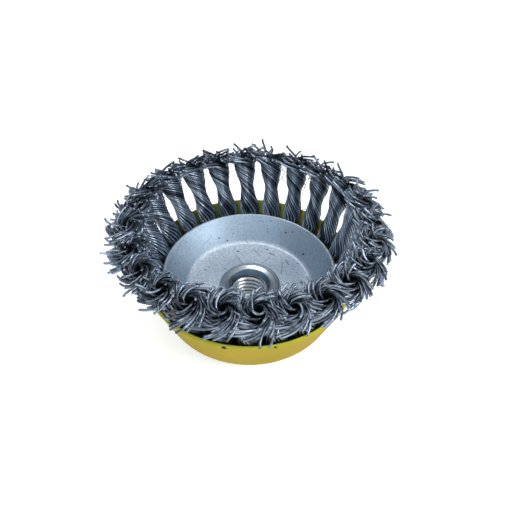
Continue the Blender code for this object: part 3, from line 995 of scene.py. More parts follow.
@dataclass
class OuterCup:
    """Pressed bowl in yellow paint, with a rolled rim and a raised middle.

    Attributes:
        wall: Sheet thickness.
        roll: Drop from the rim's top to its outer crease.
        corner: Outer radius of the bottom corner.
        base_radius: Radius at which the flat of the base ends.
        channel_radius: Inner radius of the channel that holds the knots' heads.
        draft: How much the channel's inner side leans.
        platform_height: Rise of the middle over the base.
        bore: Radius of the hole for the hub.
        rim_trim: How much narrower and higher than the solid the rim stands.
        span: Greatest length of a span of the profile.
        arc_steps: Spans in each rounded corner.
        steps: Points around.
    """

    wall: float = 1.2 * MM
    roll: float = 1.1 * MM
    corner: float = 7.0 * MM
    base_radius: float = 26.4 * MM
    channel_radius: float = 25.0 * MM
    draft: float = 1.4 * MM
    platform_height: float = 5.4 * MM
    bore: float = 10.3 * MM
    rim_trim: float = 0.6 * MM
    span: float = 2.5 * MM
    arc_steps: int = 8
    steps: int = 256

    def __post_init__(self) -> None:
        """Read the cup's outer radius and heights from the frame, and trim the rim."""
        low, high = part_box("outer_cup")
        self.rim_radius = high.x - self.rim_trim
        self.base_z = low.z
        self.rim_z = high.z + self.rim_trim

    def wall_angle(self) -> float:
        """Angle of the wall's outward normal, from the line that touches the corner's circle.

        Returns:
            The angle over the horizontal, below zero where the wall leans outwards.
        """
        crease = np.array([self.rim_radius, self.rim_z - self.roll])
        reach = crease - np.array([self.base_radius, self.base_z + self.corner])
        return math.atan2(reach[1], reach[0]) - math.acos(self.corner / float(np.linalg.norm(reach)))

    def corners(self) -> list[Corner]:
        """Corners of the closed profile, down the outside and up the inside.

        Returns:
            The corners in order.
        """
        lean = -math.tan(self.wall_angle())
        slant = self.wall / math.cos(self.wall_angle())
        crease_z = self.rim_z - self.roll
        platform = self.channel_radius - self.draft
        foot = self.rim_radius - (crease_z - self.base_z) * lean
        floor_z = self.base_z + self.wall
        inner_foot = self.rim_radius - slant - (crease_z - floor_z) * lean
        inner_rim = self.rim_radius - slant + self.roll * lean
        platform_z = self.base_z + self.platform_height
        return [
            Corner(self.rim_radius, crease_z, fillet=0.5 * MM),
            Corner(foot, self.base_z, fillet=self.corner),
            Corner(self.channel_radius - self.wall, self.base_z, fillet=0.9 * MM),
            Corner(platform - self.wall, platform_z, fillet=0.5 * MM),
            Corner(self.bore, platform_z),
            Corner(self.bore, platform_z + self.wall),
            Corner(platform, platform_z + self.wall, fillet=1.2 * MM),
            Corner(self.channel_radius, floor_z, fillet=0.4 * MM),
            Corner(inner_foot, floor_z, fillet=self.corner - self.wall),
            Corner(inner_rim, self.rim_z, fillet=0.3 * MM),
        ]

    def inside(self, profile: Array) -> Array:
        """Mark, 0 or 1, of the profile's points that lie inside the bowl.

        A point lies inside where its radius is under the outer wall's at its height, less half
        of the sheet, and its height over the base is more than nine tenths of the sheet.

        Args:
            profile: Radius and height of each point.

        Returns:
            The mark of each point.
        """
        lean = -math.tan(self.wall_angle())
        outer = self.rim_radius - (self.rim_z - self.roll - profile[:, 1]) * lean
        under_wall = profile[:, 0] < outer - 0.5 * self.wall
        return (under_wall & (profile[:, 1] > self.base_z + 0.9 * self.wall)).astype(float)

    def build(self, finish: Material) -> bpy.types.Object:
        """Build the cup's surface and link it.

        Args:
            finish: The paint.

        Returns:
            The new piece.
        """
        profile = split_long(rounded_profile(self.corners(), self.arc_steps), self.span)
        mesh = turned_mesh("painted_cup", profile[:, 0:1], profile[:, 1:2], self.steps)
        add_attribute(mesh, "inside", np.repeat(self.inside(profile), self.steps))
        return place_piece("painted_cup", mesh, finish, ("outer_cup",))


@dataclass
class InnerDish:
    """Zinc plated dish: flat middle, filleted corner and conical flange with a thin rim.

    Attributes:
        thickness: Sheet thickness.
        flat_radius: Radius at which the flange leaves the flat.
        rim_radius: Radius of the flange's upper edge.
        depth: Depth of the flat below that edge.
        bore: Radius of the hole for the hub.
        span: Greatest length of a span of the profile.
        arc_steps: Spans in each rounded corner.
        steps: Points around.
    """

    thickness: float = 1.5 * MM
    flat_radius: float = 23.5 * MM
    rim_radius: float = 31.4 * MM
    depth: float = 9.3 * MM
    bore: float = 10.3 * MM
    span: float = 2.0 * MM
    arc_steps: int = 8
    steps: int = 256

    def __post_init__(self) -> None:
        """Read the dish's lower side from the frame."""
        low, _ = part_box("inner_plate")
        self.flat_z = low.z + self.thickness

    def corners(self) -> list[Corner]:
        """Corners of the closed profile, over the top and back along the lower side.

        Returns:
            The corners in order.
        """
        slope = math.atan2(self.depth, self.rim_radius - self.flat_radius)
        rim_z = self.flat_z + self.depth
        under_z = self.flat_z - self.thickness
        under_flat = self.flat_radius + self.thickness * math.tan(slope / 2.0)
        side = self.rim_radius + self.thickness * math.sin(slope)
        side_z = rim_z - self.thickness * math.cos(slope)
        return [
            Corner(self.bore, self.flat_z),
            Corner(self.flat_radius, self.flat_z, fillet=1.6 * MM),
            Corner(self.rim_radius, rim_z, fillet=0.55 * MM),
            Corner(side, side_z, fillet=0.35 * MM),
            Corner(under_flat, under_z, fillet=4.6 * MM),
            Corner(self.bore, under_z),
        ]

    def build(self, finish: Material) -> bpy.types.Object:
        """Build the dish's surface and link it.

        Args:
            finish: The zinc plating.

        Returns:
            The new piece.
        """
        profile = split_long(rounded_profile(self.corners(), self.arc_steps), self.span)
        mesh = turned_mesh("zinc_dish", profile[:, 0:1], profile[:, 1:2], self.steps)
        return place_piece("zinc_dish", mesh, finish, ("inner_plate",))


@dataclass
class ThreadedHub:
    """Hexagon nut with a swaged neck, a flared mouth and an internal thread.

    Attributes:
        neck_radius: Radius of the neck through the dish.
        lip_radius: Radius of the swaged lip.
        lip_height: Height of the lip over the dish.
        crown_radius: Radius at which the rubbed lip is highest.
        crown_flat: Half the width of that crown.
        crown_drop: Depth of that crown below the hub's top in the frame.
        mouth_radius: Radius of the flared mouth.
        mouth_drop: Depth of the mouth's edge below the hub's top in the frame.
        mouth_depth: Depth at which the thread begins below the same top.
        root_radius: Radius of the thread's root.
        crest_radius: Radius of the thread's crest.
        pitch: Thread pitch.
        thread_low: Height over the lower end face at which the thread begins.
        run_in: Height over which the thread grows at its lower end.
        run_out: Height over which it fades at its upper end.
        across_flats: Size of the hexagon.
        hex_height: Height of the hexagon.
        hex_chamfer: How much less than half the flats' size the chamfer's cone begins.
        sharp_angle: Least angle between faces that shows as an edge.
        span: Greatest length of a span of the outside.
        arc_steps: Spans in each rounded corner.
        steps: Points around, a multiple of six.
        per_turn: Rows of points for each thread pitch.
    """

    neck_radius: float = 10.0 * MM
    lip_radius: float = 11.1 * MM
    lip_height: float = 1.0 * MM
    crown_radius: float = 9.75 * MM
    crown_flat: float = 0.15 * MM
    crown_drop: float = 0.5 * MM
    mouth_radius: float = 8.15 * MM
    mouth_drop: float = 1.1 * MM
    mouth_depth: float = 3.3 * MM
    root_radius: float = 7.0 * MM
    crest_radius: float = 6.0 * MM
    pitch: float = 2.0 * MM
    thread_low: float = 0.9 * MM
    run_in: float = 0.6 * MM
    run_out: float = 0.4 * MM
    across_flats: float = 24.0 * MM
    hex_height: float = 7.6 * MM
    hex_chamfer: float = 0.3 * MM
    sharp_angle: float = math.radians(38.0)
    span: float = 1.2 * MM
    arc_steps: int = 6
    steps: int = 192
    per_turn: int = 14

    def __post_init__(self) -> None:
        """Read the hub's height from the frame."""
        _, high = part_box("threaded_hub")
        self.top_z = high.z

    def outside(self) -> Array:
        """Profile from the bore's lower edge out over the hexagon and the neck to the mouth.

        The last corner only gives the arc before it its direction, and is left out.

        Returns:
            Array of profile points, radius and height.
        """
        lip_low = self.top_z - self.lip_height
        low_z = self.top_z - self.mouth_depth
        crown_z = self.top_z - self.crown_drop
        corner_radius = self.across_flats / math.sqrt(3.0)
        mouth_low = self.root_radius + 0.1 * MM
        corners = [
            Corner(self.root_radius, 0.0, fillet=0.1 * MM),
            Corner(corner_radius, 0.0),
            Corner(corner_radius, self.hex_height),
            Corner(self.neck_radius, self.hex_height),
            Corner(self.neck_radius, lip_low),
            Corner(self.lip_radius, lip_low),
            Corner(self.lip_radius, lip_low + 0.12 * MM, fillet=0.1 * MM),
            Corner(self.crown_radius + self.crown_flat, crown_z, fillet=0.3 * MM),
            Corner(self.crown_radius - self.crown_flat, crown_z, fillet=0.2 * MM),
            Corner(self.mouth_radius, self.top_z - self.mouth_drop, fillet=0.2 * MM),
            Corner(mouth_low, low_z + 0.2 * MM, fillet=0.4 * MM),
            Corner(mouth_low, low_z - 0.1 * MM),
        ]
        return split_long(rounded_profile(corners, self.arc_steps)[:-1], self.span, closed=False)

    def build(self, finish: Material) -> bpy.types.Object:
        """Build the hub's surface and link it.

        The outside is turned, with its radius held inside the hexagon's flats, whose distance
        from the axis is half the size across flats over the cosine of the angle from the
        flat's middle. A cone at 30 degrees to the lower end face trims the hexagon's corners.
        The bore's radius follows the thread: straight flanks between flats, by the height over
        the pitch less the azimuth's share of a turn.

        Args:
            finish: The zinc plating.

        Returns:
            The new piece.
        """
        azimuth = TAU * np.arange(self.steps) / self.steps
        outside = self.outside()
        radius, height = outside[:, 0:1], outside[:, 1:2]
        from_flat = (azimuth + math.pi / 6.0) % (math.pi / 3.0) - math.pi / 6.0
        flats = self.across_flats / 2.0 / np.cos(from_flat)
        in_hex = (height <= self.hex_height + TOUCH) & (radius > self.neck_radius + TOUCH)
        cone = self.across_flats / 2.0 - self.hex_chamfer + height * math.tan(math.radians(60.0))
        hexagon = np.minimum(np.minimum(radius, flats), cone)
        radius = np.where(in_hex, hexagon, radius)

        top = self.top_z - self.mouth_depth - 0.15 * MM
        low = self.thread_low
        rows = int(round((top - low) / self.pitch * self.per_turn))
        level = np.linspace(top, low, rows)[:, None]
        phase = (level / self.pitch - azimuth / TAU) % 1.0
        steepness, root_flat = 1.3, 0.15
        wave = np.clip(steepness * (1.0 - np.abs(2.0 * phase - 1.0)) - root_flat, 0.0, 1.0)
        fade = smooth((top - level) / self.run_out) * smooth((level - low) / self.run_in)
        bore = self.root_radius - (self.root_radius - self.crest_radius) * wave * fade
        mesh = turned_mesh("swaged_hub", np.concatenate([radius, bore]),
                           np.concatenate([height, level]), self.steps)
        mesh.set_sharp_from_angle(angle=self.sharp_angle)
        return place_piece("swaged_hub", mesh, finish, ("threaded_hub",))


@dataclass(frozen=True)
class KnotHabit:
    """What sets one knot apart from its neighbours on a used brush.

    Attributes:
        fullness: Part by which the upper stem is wider or narrower.
        shift: Degrees by which the tuft stands further round.
        reach: Millimetres by which the splayed wires are longer.
        hairs: Loose hairs, each as the side that it hangs on and its drop along the stem.
    """

    fullness: float = 0.0
    shift: float = 0.0
    reach: float = 0.0
    hairs: tuple[tuple[float, float], ...] = ()


@dataclass
class KnotLayout:
    """Ring of knots: the axis that every knot follows and the stem's half widths along it.

    Attributes:
        count: Number of knots.
        hole_radius: Radius of the circle of holes in the holder.
        foot_radius: Radius at which a knot leaves the gap beside the dish.
        tuft_radius: Radius of the circle of tuft centres.
        rim_rise: Height of the dish's rim over its lower side.
        tuft_rise: Height of the tuft centres over the dish's rim.
        bend: Points of the bend in the gap: share of the way up from the holder to the rim,
            and distance outwards from the circle of holes.
        lean: Azimuth by which a tuft's centre leads its foot.
        slow_turn: Length of one turn of the twist at the foot, where the legs still fan out.
        fast_turn: Length of one turn of the twist at the tuft.
        hidden_twist: Twist below the rim, as a share of the twist at the foot.
        fullness: Part by which the upper stem is wider.
    """

    count: int = 24
    hole_radius: float = 28.5 * MM
    foot_radius: float = 34.75 * MM
    tuft_radius: float = 41.7 * MM
    rim_rise: float = 10.8 * MM
    tuft_rise: float = 20.6 * MM
    bend: tuple[tuple[float, float], ...] = ((0.3, 1.4 * MM), (0.6, 4.3 * MM))
    lean: float = math.radians(3.4)
    slow_turn: float = 52.0 * MM
    fast_turn: float = 15.0 * MM
    hidden_twist: float = 0.6
    fullness: float = 0.0

    def __post_init__(self) -> None:
        """Read the heights of the holder and of the dish's rim from the frame."""
        low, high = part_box("knot_holder")
        self.holder_low = low.z
        self.holder_high = high.z
        self.rim_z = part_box("inner_plate")[0].z + self.rim_rise
        self.tilt = math.atan2(self.tuft_radius - self.foot_radius, self.tuft_rise)

    def spread(self, number: int, habit: KnotHabit) -> "KnotLayout":
        """The layout for one knot, bent in or out as the used brush shows.

        The tufts stand further out at the sides and the back than at the front: the radius
        gains a part with the sine of the azimuth, one with the cosine of twice the azimuth, and
        one that all the knots share.

        Args:
            number: Place of the knot in the ring, from 1.
            habit: What sets the knot apart.

        Returns:
            A layout with that knot's own tuft radius, lean and fullness.
        """
        azimuth = TAU * (number - 1) / self.count + self.lean
        back_gain, side_gain, shared_gain = 1.1 * MM, 0.9 * MM, 0.3 * MM
        gain = back_gain * math.sin(azimuth) + side_gain * math.cos(2.0 * azimuth) + shared_gain
        return replace(self, tuft_radius=self.tuft_radius + gain, fullness=habit.fullness,
                       lean=self.lean + math.radians(habit.shift))

    def level(self, along: Array) -> Array:
        """Height of the axis: the rim's height plus the share of the rise."""
        return self.rim_z + self.tuft_rise * along

    def center(self, along: Array) -> Array:
        """Points on the axis of a knot at azimuth 0.

        Above the foot the radius grows evenly with height, and the azimuth grows to the lean.
        Below it the radius follows a bend down to the hole, where the axis is upright.

        Args:
            along: 0 at the foot, 1 at the tuft's centre and negative below the rim.

        Returns:
            Array of points.
        """
        height = self.level(along)
        upper = mix(self.foot_radius, self.tuft_radius, along)
        bend_z = [mix(self.holder_high, self.rim_z, share) for share, _ in self.bend]
        bend_radius = [self.hole_radius + outwards for _, outwards in self.bend]
        lower = np.interp(height, [0.0, self.holder_high, *bend_z, self.rim_z],
                          [self.hole_radius, self.hole_radius, *bend_radius, self.foot_radius])
        radius = np.where(along < 0.0, lower, upper)
        azimuth = self.lean * np.maximum(along, 0.0)
        return np.stack([radius * np.cos(azimuth), radius * np.sin(azimuth), height], axis=-1)

    def twist(self, along: Array) -> Array:
        """Angle turned since the foot.

        Above the foot the turns for each length grow from slow to fast by 2 s less s squared,
        for a share s of the axis, whose sum up to s is s squared less a third of s cubed.

        Args:
            along: Share of the axis.

        Returns:
            The angle.
        """
        length = self.tuft_rise / math.cos(self.tilt)
        slow, fast = length / self.slow_turn, length / self.fast_turn
        above = np.maximum(along, 0.0)
        below = np.minimum(along, 0.0)
        grown = above ** 2 - above ** 3 / 3.0
        return TAU * (slow * (above + self.hidden_twist * below) + (fast - slow) * grown)

    def helix(self, along: Array, ground: Array) -> Array:
        """Angle between a wire and the axis, from its distance and the turns for each length.

        Args:
            along: Share of the axis.
            ground: Distance from the axis.

        Returns:
            The angle.
        """
        held = np.clip(along, 0.0, 1.0)
        turns = mix(1.0 / self.slow_turn, 1.0 / self.fast_turn, held * (2.0 - held))
        return np.arctan(TAU * ground * turns)

    def half_widths(self, along: Array) -> tuple[Array, Array]:
        """Half widths of the bundle between stations, with the upper stem fuller if asked.

        Args:
            along: Share of the axis for each wire and row.

        Returns:
            Half width outwards and half width sideways.
        """
        under_holder, up_the_gap = 2.2 * MM, 0.45
        head = (self.holder_low - under_holder - self.rim_z) / self.tuft_rise
        hole = (self.holder_low - self.rim_z) / self.tuft_rise
        bend = (self.holder_high - self.rim_z) * (1.0 - up_the_gap) / self.tuft_rise
        stations = (head, hole, bend, 0.0, 0.14, 0.27, 0.43, 0.53, 0.63, 0.75, 0.84, 0.93, 1.0)
        out_mm = (2.7, 2.0, 2.05, 1.85, 2.7, 2.85, 2.7, 3.0, 3.6, 4.1, 4.5, 5.1, 5.8)
        side_mm = (2.7, 2.0, 2.2, 4.2, 3.9, 3.1, 2.65, 2.95, 3.7, 4.3, 4.6, 5.1, 5.8)
        scale = MM * (1.0 + self.fullness * smooth(along / 0.5))
        return scale * np.interp(along, stations, out_mm), scale * np.interp(along, stations, side_mm)


@dataclass(frozen=True)
class TuftForm:
    """Measures that all the tufts share, and how they change round the ring.

    A pair of spreads holds the random spread between locks and the one between single wires.
    What is named for the front or the back is the change at that side of the ring, which
    fades to nothing at the sides. The outer side of a tuft faces away from the ring's axis.

    Attributes:
        share_spread: Spread of a wire's share of the half width.
        share_limits: Least and greatest share.
        phase_spread: Greatest move round the stem, as a share of the gap between neighbours.
        lock_slant: How many locks further round a lock's border is at the skin than at the heart.
        free_length: Length of a wire past the stem.
        length_spreads: Spreads of that length.
        heart_length: Gain in length of a wire in the middle of the stem.
        length_limits: Least and greatest length.
        back_shorter: Loss of length at the back.
        leave_drop: How early a wire on the stem's skin leaves it, as a share of the axis.
        leave_spread: Spread of that share between wires.
        tip_spreads: Spreads of the tip angle.
        swirl: Heading of the tips off the outward direction.
        swirl_spreads: Spreads of that heading.
        back_swirl: Loss of that heading at the back.
        stray_share: Share of the wires that stray.
        stray_tip: Loss of tip angle of a stray.
        stray_swirl: Loss of heading of a stray.
        stray_length: Length of a stray, as a share of the others'.
        back_stray: Loss of that share at the back.
        tone: Mean tone of the wires.
        tone_spreads: Spreads of the tone.
        depth_shade: Fall of the tone for each share of the way into the stem, painted shade.
        depth_from: Share of the half width at which that fall starts.
        depth_range: Share over which it goes on.
        side_light: Gain in tone at the ring's sides, painted light.
        front_shade: Loss of tone at the front, on the outer side, painted shade.
        back_shade: Loss of tone at the back, painted shade.
        outer_turn: Turn from a wire's place in the stem to its tip's place in the tuft.
        outer_length: Gain in length on the outer side, as a share.
        front_length: Further gain at the front.
        back_length: Loss of length at the back on the inner side, as a share.
        outer_droop: Gain in tip angle on the outer side.
        front_droop: Further gain at the front.
        back_rise: Loss of tip angle at the back on the inner side.
        bow: Heading with which every wire leaves the stem, nearly straight round.
        lean_share: Share of the free length over which a wire leans out to its tip angle.
        bow_share: Share over which it turns from the bow to its swirl.
        wobble: Spread of the tips' places.
    """

    share_spread: float = 0.02
    share_limits: tuple[float, float] = (0.15, 0.96)
    phase_spread: float = 0.10
    lock_slant: float = 0.4
    free_length: float = 9.9 * MM
    length_spreads: tuple[float, float] = (0.5 * MM, 0.4 * MM)
    heart_length: float = 0.6 * MM
    length_limits: tuple[float, float] = (6.5 * MM, 13.0 * MM)
    back_shorter: float = 0.7 * MM
    leave_drop: float = 0.12
    leave_spread: float = 0.015
    tip_spreads: tuple[float, float] = (math.radians(4.0), math.radians(3.0))
    swirl: float = math.radians(58.0)
    swirl_spreads: tuple[float, float] = (math.radians(7.0), math.radians(4.0))
    back_swirl: float = math.radians(22.0)
    stray_share: float = 0.06
    stray_tip: float = math.radians(12.0)
    stray_swirl: float = math.radians(75.0)
    stray_length: float = 0.66
    back_stray: float = 0.12
    tone: float = 0.67
    tone_spreads: tuple[float, float] = (0.06, 0.24)
    depth_shade: float = 2.4
    depth_from: float = 0.85
    depth_range: float = 0.25
    side_light: float = 0.28
    front_shade: float = 0.36
    back_shade: float = 0.08
    outer_turn: float = 1.5
    outer_length: float = 0.07
    front_length: float = 0.10
    back_length: float = 0.12
    outer_droop: float = math.radians(5.0)
    front_droop: float = math.radians(24.0)
    back_rise: float = math.radians(20.0)
    bow: float = math.radians(80.0)
    lean_share: float = 0.5
    bow_share: float = 0.8
    wobble: float = 0.22 * MM


@dataclass
class WireKnot:
    """One knot: separate wires that twist about the axis and splay into a swirled tuft.

    Attributes:
        number: Place in the ring, from 1.
        layout: The ring of knots.
        wire_radius: Half a wire's thickness where it is drawn tight in the stem.
        loose_radius: Half a wire's thickness in the tuft.
        hair_radius: Half the thickness of a loose hair.
        locks: Number of locks that the splayed wires clump into.
        gathering: Share of the way that a lock's tips draw together.
        sides: Points around a wire.
        head_depth: How far below the holder the wires start.
        leg_groove: Part by which the wires between the two legs lie closer in.
        hidden_rows: Rows of points below the dish's rim.
        stem_rows: Rows of points along the stem.
        tuft_rows: Rows of points along the splayed end.
        habit: What sets this knot apart.
        form: Measures that all tufts share.
        dice: The knot's own random numbers.
        front: How far to the front of the ring the knot stands, from 0 to 1.
        back: How far to the back.
    """

    number: int
    layout: KnotLayout
    wire_radius: float = 0.32 * MM
    loose_radius: float = 0.43 * MM
    hair_radius: float = 0.12 * MM
    locks: int = 7
    gathering: float = 0.3
    sides: int = 5
    head_depth: float = 2.0 * MM
    leg_groove: float = 0.05
    hidden_rows: int = 6
    stem_rows: int = 15
    tuft_rows: int = 18
    habit: KnotHabit = KnotHabit()
    form: TuftForm = TuftForm()
    dice: np.random.Generator = field(init=False)
    front: float = field(init=False)
    back: float = field(init=False)

    def __post_init__(self) -> None:
        """Seed the knot's own random numbers, and take front and back from its azimuth's sine."""
        self.dice = np.random.default_rng(4100 + self.number)
        facing = math.sin(TAU * (self.number - 1) / self.layout.count + self.layout.lean)
        self.front, self.back = max(-facing, 0.0), max(facing, 0.0)

    def vary(self, lock: Array, spreads: tuple[float, float]) -> Array:
        """Random change of every wire: one part that its lock shares and one of its own.

        Args:
            lock: Lock of each wire.
            spreads: Spread between locks and spread between wires.

        Returns:
            The change for each wire.
        """
        shared = self.dice.normal(0.0, spreads[0], self.locks)[lock]
        return shared + self.dice.normal(0.0, spreads[1], len(lock))

    def wire_table(self) -> dict[str, Array]:
        """Facts of every wire, partly shared by the wires of a lock.

        A wire ends on the tuft's outer side by the cosine of its phase, less the twist at which
        it leaves the stem and a further turn. Towards the back of the ring the wires are
        shorter, darker by painted shade and splay straighter, and the strays are shorter still.
        The tone also falls towards the stem's middle and, at the front, on the outer side, as
        painted shade, and rises at the ring's sides as painted light.

        Returns:
            Share of the half width, phase, lock, how far it ends on the outer side, tip angle,
            free length, share of the axis at which the wire leaves the stem, swirl angle and
            tone, each by wire.
        """
        form, dice = self.form, self.dice
        shares, phases, tips = [], [], []
        for layer in Layer:
            share, count, tip = layer.value
            spread = dice.uniform(-form.phase_spread, form.phase_spread, count)
            phases.append(TAU * (np.arange(count) + spread) / count)
            shares.append(share + dice.normal(0.0, form.share_spread, count))
            tips.append(np.full(count, tip))
        share = np.clip(np.concatenate(shares), *form.share_limits)
        phase = np.concatenate(phases)
        total = len(share)
        lock = (phase / TAU * self.locks + form.lock_slant * share).astype(int) % self.locks
        tip = np.concatenate(tips) + self.vary(lock, form.tip_spreads)
        length = form.free_length + self.habit.reach * MM - form.back_shorter * self.back
        length = length + self.vary(lock, form.length_spreads) + form.heart_length * (1.0 - share)
        leave = 1.0 - form.leave_drop * share + dice.normal(0.0, form.leave_spread, total)
        swirl = form.swirl - form.back_swirl * self.back + self.vary(lock, form.swirl_spreads)
        stray = dice.random(total) < form.stray_share
        tip = np.where(stray, tip - form.stray_tip, tip)
        swirl = np.where(stray, swirl - form.stray_swirl, swirl)
        length = np.where(stray, length * (form.stray_length - form.back_stray * self.back), length)
        outer_side = np.cos(phase - self.layout.twist(leave) - form.outer_turn)
        tone = form.tone + self.vary(lock, form.tone_spreads)
        # Painted shade deep in the stem, at the front on the outer side and at the back, and painted light
        # at the ring's sides.
        tone -= form.depth_shade * np.clip(form.depth_from - share, 0.0, form.depth_range)
        tone += form.side_light * (1.0 - self.front - self.back)
        tone -= form.front_shade * self.front * np.maximum(outer_side, 0.0) + form.back_shade * self.back
        return {
            "share": share,
            "phase": phase,
            "lock": lock,
            "outer_side": outer_side,
            "tip": tip,
            "length": np.clip(length, *form.length_limits),
            "leave": leave,
            "swirl": swirl,
            "tone": np.clip(tone, 0.0, 1.0),
        }

    def stem_paths(self, wires: dict[str, Array]) -> tuple[Array, Array]:
        """Offsets from the axis of each wire up to where it leaves the stem.

        The phase falls with the twist along the axis, which winds the wires left-handed. Two
        opposite sides lie closer in, because two legs of the fold are twisted together.

        Args:
            wires: The facts of every wire.

        Returns:
            Share of the axis, and outward and sideways offsets, for each wire and row.
        """
        lay = self.layout
        start = (lay.holder_low - self.head_depth - lay.rim_z) / lay.tuft_rise
        hidden = np.linspace(start, -0.05, self.hidden_rows)
        rise = np.linspace(0.0, 1.0, self.stem_rows)[None, :] * wires["leave"][:, None]
        along = np.concatenate([np.repeat(hidden[None, :], len(rise), axis=0), rise], axis=1)
        out, side = lay.half_widths(along)
        angle = wires["phase"][:, None] - lay.twist(along)
        lobe = 1.0 - self.leg_groove * np.sin(wires["phase"])[:, None] ** 2
        reach = wires["share"][:, None] * lobe
        return along, np.stack([reach * out * np.cos(angle), reach * side * np.sin(angle)], axis=-1)

    def tuft_paths(self, wires: dict[str, Array], start: Array, leave: Array) -> tuple[Array, Array]:
        """Splayed ends: each wire turns from its helix out towards its tip.

        The lean of the wire from the axis eases from the helix angle to the tip angle over the
        first part of its free length. Its heading off the outward direction eases from nearly
        straight round to the swirl angle, so the wire goes on winding round the axis while it
        moves away from it. Steps along that heading are then summed up, which gives the petals
        of a rose. Wires that end on the outer side are longer and droop, at the front most of
        all, and at the back those on the inner side are shorter and stand up. Towards their
        tips the wires of a lock draw together.

        Args:
            wires: The facts of every wire.
            start: Outward and sideways offset where each wire leaves the stem.
            leave: Share of the axis at which it leaves.

        Returns:
            Share of the axis, and outward and sideways offsets, for each wire and row.
        """
        lay, form = self.layout, self.form
        rows = self.tuft_rows
        share = np.arange(1, rows + 1)[None, :] / rows
        ground = np.hypot(start[:, 0], start[:, 1])
        angle0 = np.arctan2(start[:, 1], start[:, 0])
        outer_side = wires["outer_side"][:, None]
        inner_back = self.back * np.maximum(-outer_side, 0.0)
        gain = (form.outer_length + form.front_length * self.front) * outer_side
        step = (wires["length"] / rows)[:, None] * (1.0 + gain - form.back_length * inner_back)
        helix = lay.helix(leave, ground)[:, None]
        tip = wires["tip"][:, None] + form.outer_droop * outer_side - form.back_rise * inner_back
        tip += form.front_droop * self.front * np.maximum(outer_side, 0.0)
        lean = mix(helix, tip, smooth(share / form.lean_share))
        heading = mix(form.bow, wires["swirl"][:, None], smooth(share / form.bow_share))
        radial = np.cumsum(step * np.sin(lean) * np.cos(heading), axis=1)
        radius = np.maximum(ground[:, None] + radial, 0.3 * MM)
        spin = np.cumsum(step * np.sin(lean) * np.sin(heading) / radius, axis=1)
        angle = angle0[:, None] - spin
        angle += self.gather(angle[:, -1], wires["lock"])[:, None] * smooth(share)
        climb = np.cumsum(step * np.cos(lean), axis=1) / (lay.tuft_rise / math.cos(lay.tilt))
        wobble = self.dice.normal(0.0, form.wobble, (len(ground), 3, 1)) * (share ** 2)[:, None, :]
        outward = radius * np.cos(angle) + wobble[:, 0]
        sideways = radius * np.sin(angle) + wobble[:, 1]
        along = leave[:, None] + climb + wobble[:, 2] / lay.tuft_rise
        return along, np.stack([outward, sideways], axis=-1)

    def gather(self, ends: Array, lock: Array) -> Array:
        """Turn that draws each wire's tip part of the way to the mean direction of its lock.

        The mean direction is the angle of the summed unit vectors of the lock's tips.

        Args:
            ends: Direction of each tip round the axis.
            lock: Lock of each wire.

        Returns:
            The turn for each wire.
        """
        sine = np.bincount(lock, np.sin(ends), self.locks)
        cosine = np.bincount(lock, np.cos(ends), self.locks)
        apart = np.arctan2(sine, cosine)[lock] - ends
        return self.gathering * (np.mod(apart + math.pi, TAU) - math.pi)

    def hair_paths(self, rows: int) -> tuple[Array, Array]:
        """Loose hairs that hang from the tuft beside the stem, with random kinks.

        Args:
            rows: Rows of points along each hair.

        Returns:
            Share of the axis, and outward and sideways offsets, for each hair and row.
        """
        count, bends, kink_spread = len(self.habit.hairs), 7, 0.45 * MM
        run = np.linspace(0.0, 1.0, rows)[None, :]
        side, drop = np.array(self.habit.hairs).reshape(count, 2, 1).transpose(1, 0, 2)
        places = np.linspace(0.0, 1.0, bends)
        kinks = np.array([
            np.interp(run[0], places, self.dice.normal(0.0, kink_spread, bends))
            for _ in range(2 * count)
        ]).reshape(count, 2, rows)
        bulge = (4.3 + 2.0 * np.sin(math.pi * run) - 1.6 * run) * MM
        sideways = side * bulge + kinks[:, 0]
        outward = kinks[:, 1] * 2.0
        return 1.02 - drop * run, np.stack([outward, sideways], axis=-1)

    def to_space(self, along: Array, offset: Array) -> Array:
        """Points in space from shares of the axis and offsets square to it.

        The outward direction tilts with the axis, eased in over the bend below the rim.

        Args:
            along: Share of the axis for each wire and row.
            offset: Outward and sideways offset for each wire and row.

        Returns:
            Array of points, turned to the knot's azimuth.
        """
        lay = self.layout
        center = lay.center(along)
        bend_start, bend_length = -0.55, 0.5
        tilt = smooth((along - bend_start) / bend_length) * lay.tilt
        out_axis = np.stack([np.cos(tilt), np.zeros_like(tilt), -np.sin(tilt)], axis=-1)
        side_axis = np.array([0.0, 1.0, 0.0])
        flat = center + offset[..., 0:1] * out_axis + offset[..., 1:2] * side_axis
        azimuth = TAU * (self.number - 1) / lay.count
        cosine, sine = math.cos(azimuth), math.sin(azimuth)
        x = cosine * flat[..., 0] - sine * flat[..., 1]
        y = sine * flat[..., 0] + cosine * flat[..., 1]
        return np.stack([x, y, flat[..., 2]], axis=-1)

    def strands(self) -> "Strands":
        """Centre lines of all wires and hairs, with their thickness and tone.

        Returns:
            The strands.
        """
        wires = self.wire_table()
        stem_along, stem_offset = self.stem_paths(wires)
        tuft_along, tuft_offset = self.tuft_paths(wires, stem_offset[:, -1], stem_along[:, -1])
        along = np.concatenate([stem_along, tuft_along], axis=1)
        offset = np.concatenate([stem_offset, tuft_offset], axis=1)
        rows = along.shape[1]
        hair_along, hair_offset = self.hair_paths(rows)
        lines = self.to_space(np.concatenate([along, hair_along]), np.concatenate([offset, hair_offset]))
        count = len(self.habit.hairs)
        tips = smooth((np.arange(rows) - (rows - self.tuft_rows)) / self.tuft_rows)
        loose = mix(self.wire_radius, self.loose_radius, smooth(tips * 3.0))
        radii = np.concatenate([np.tile(loose, (len(along), 1)), np.full((count, rows), self.hair_radius)])
        tones = np.concatenate([wires["tone"], np.zeros(count)])
        return Strands(lines, radii, tones, tips, self.sides)

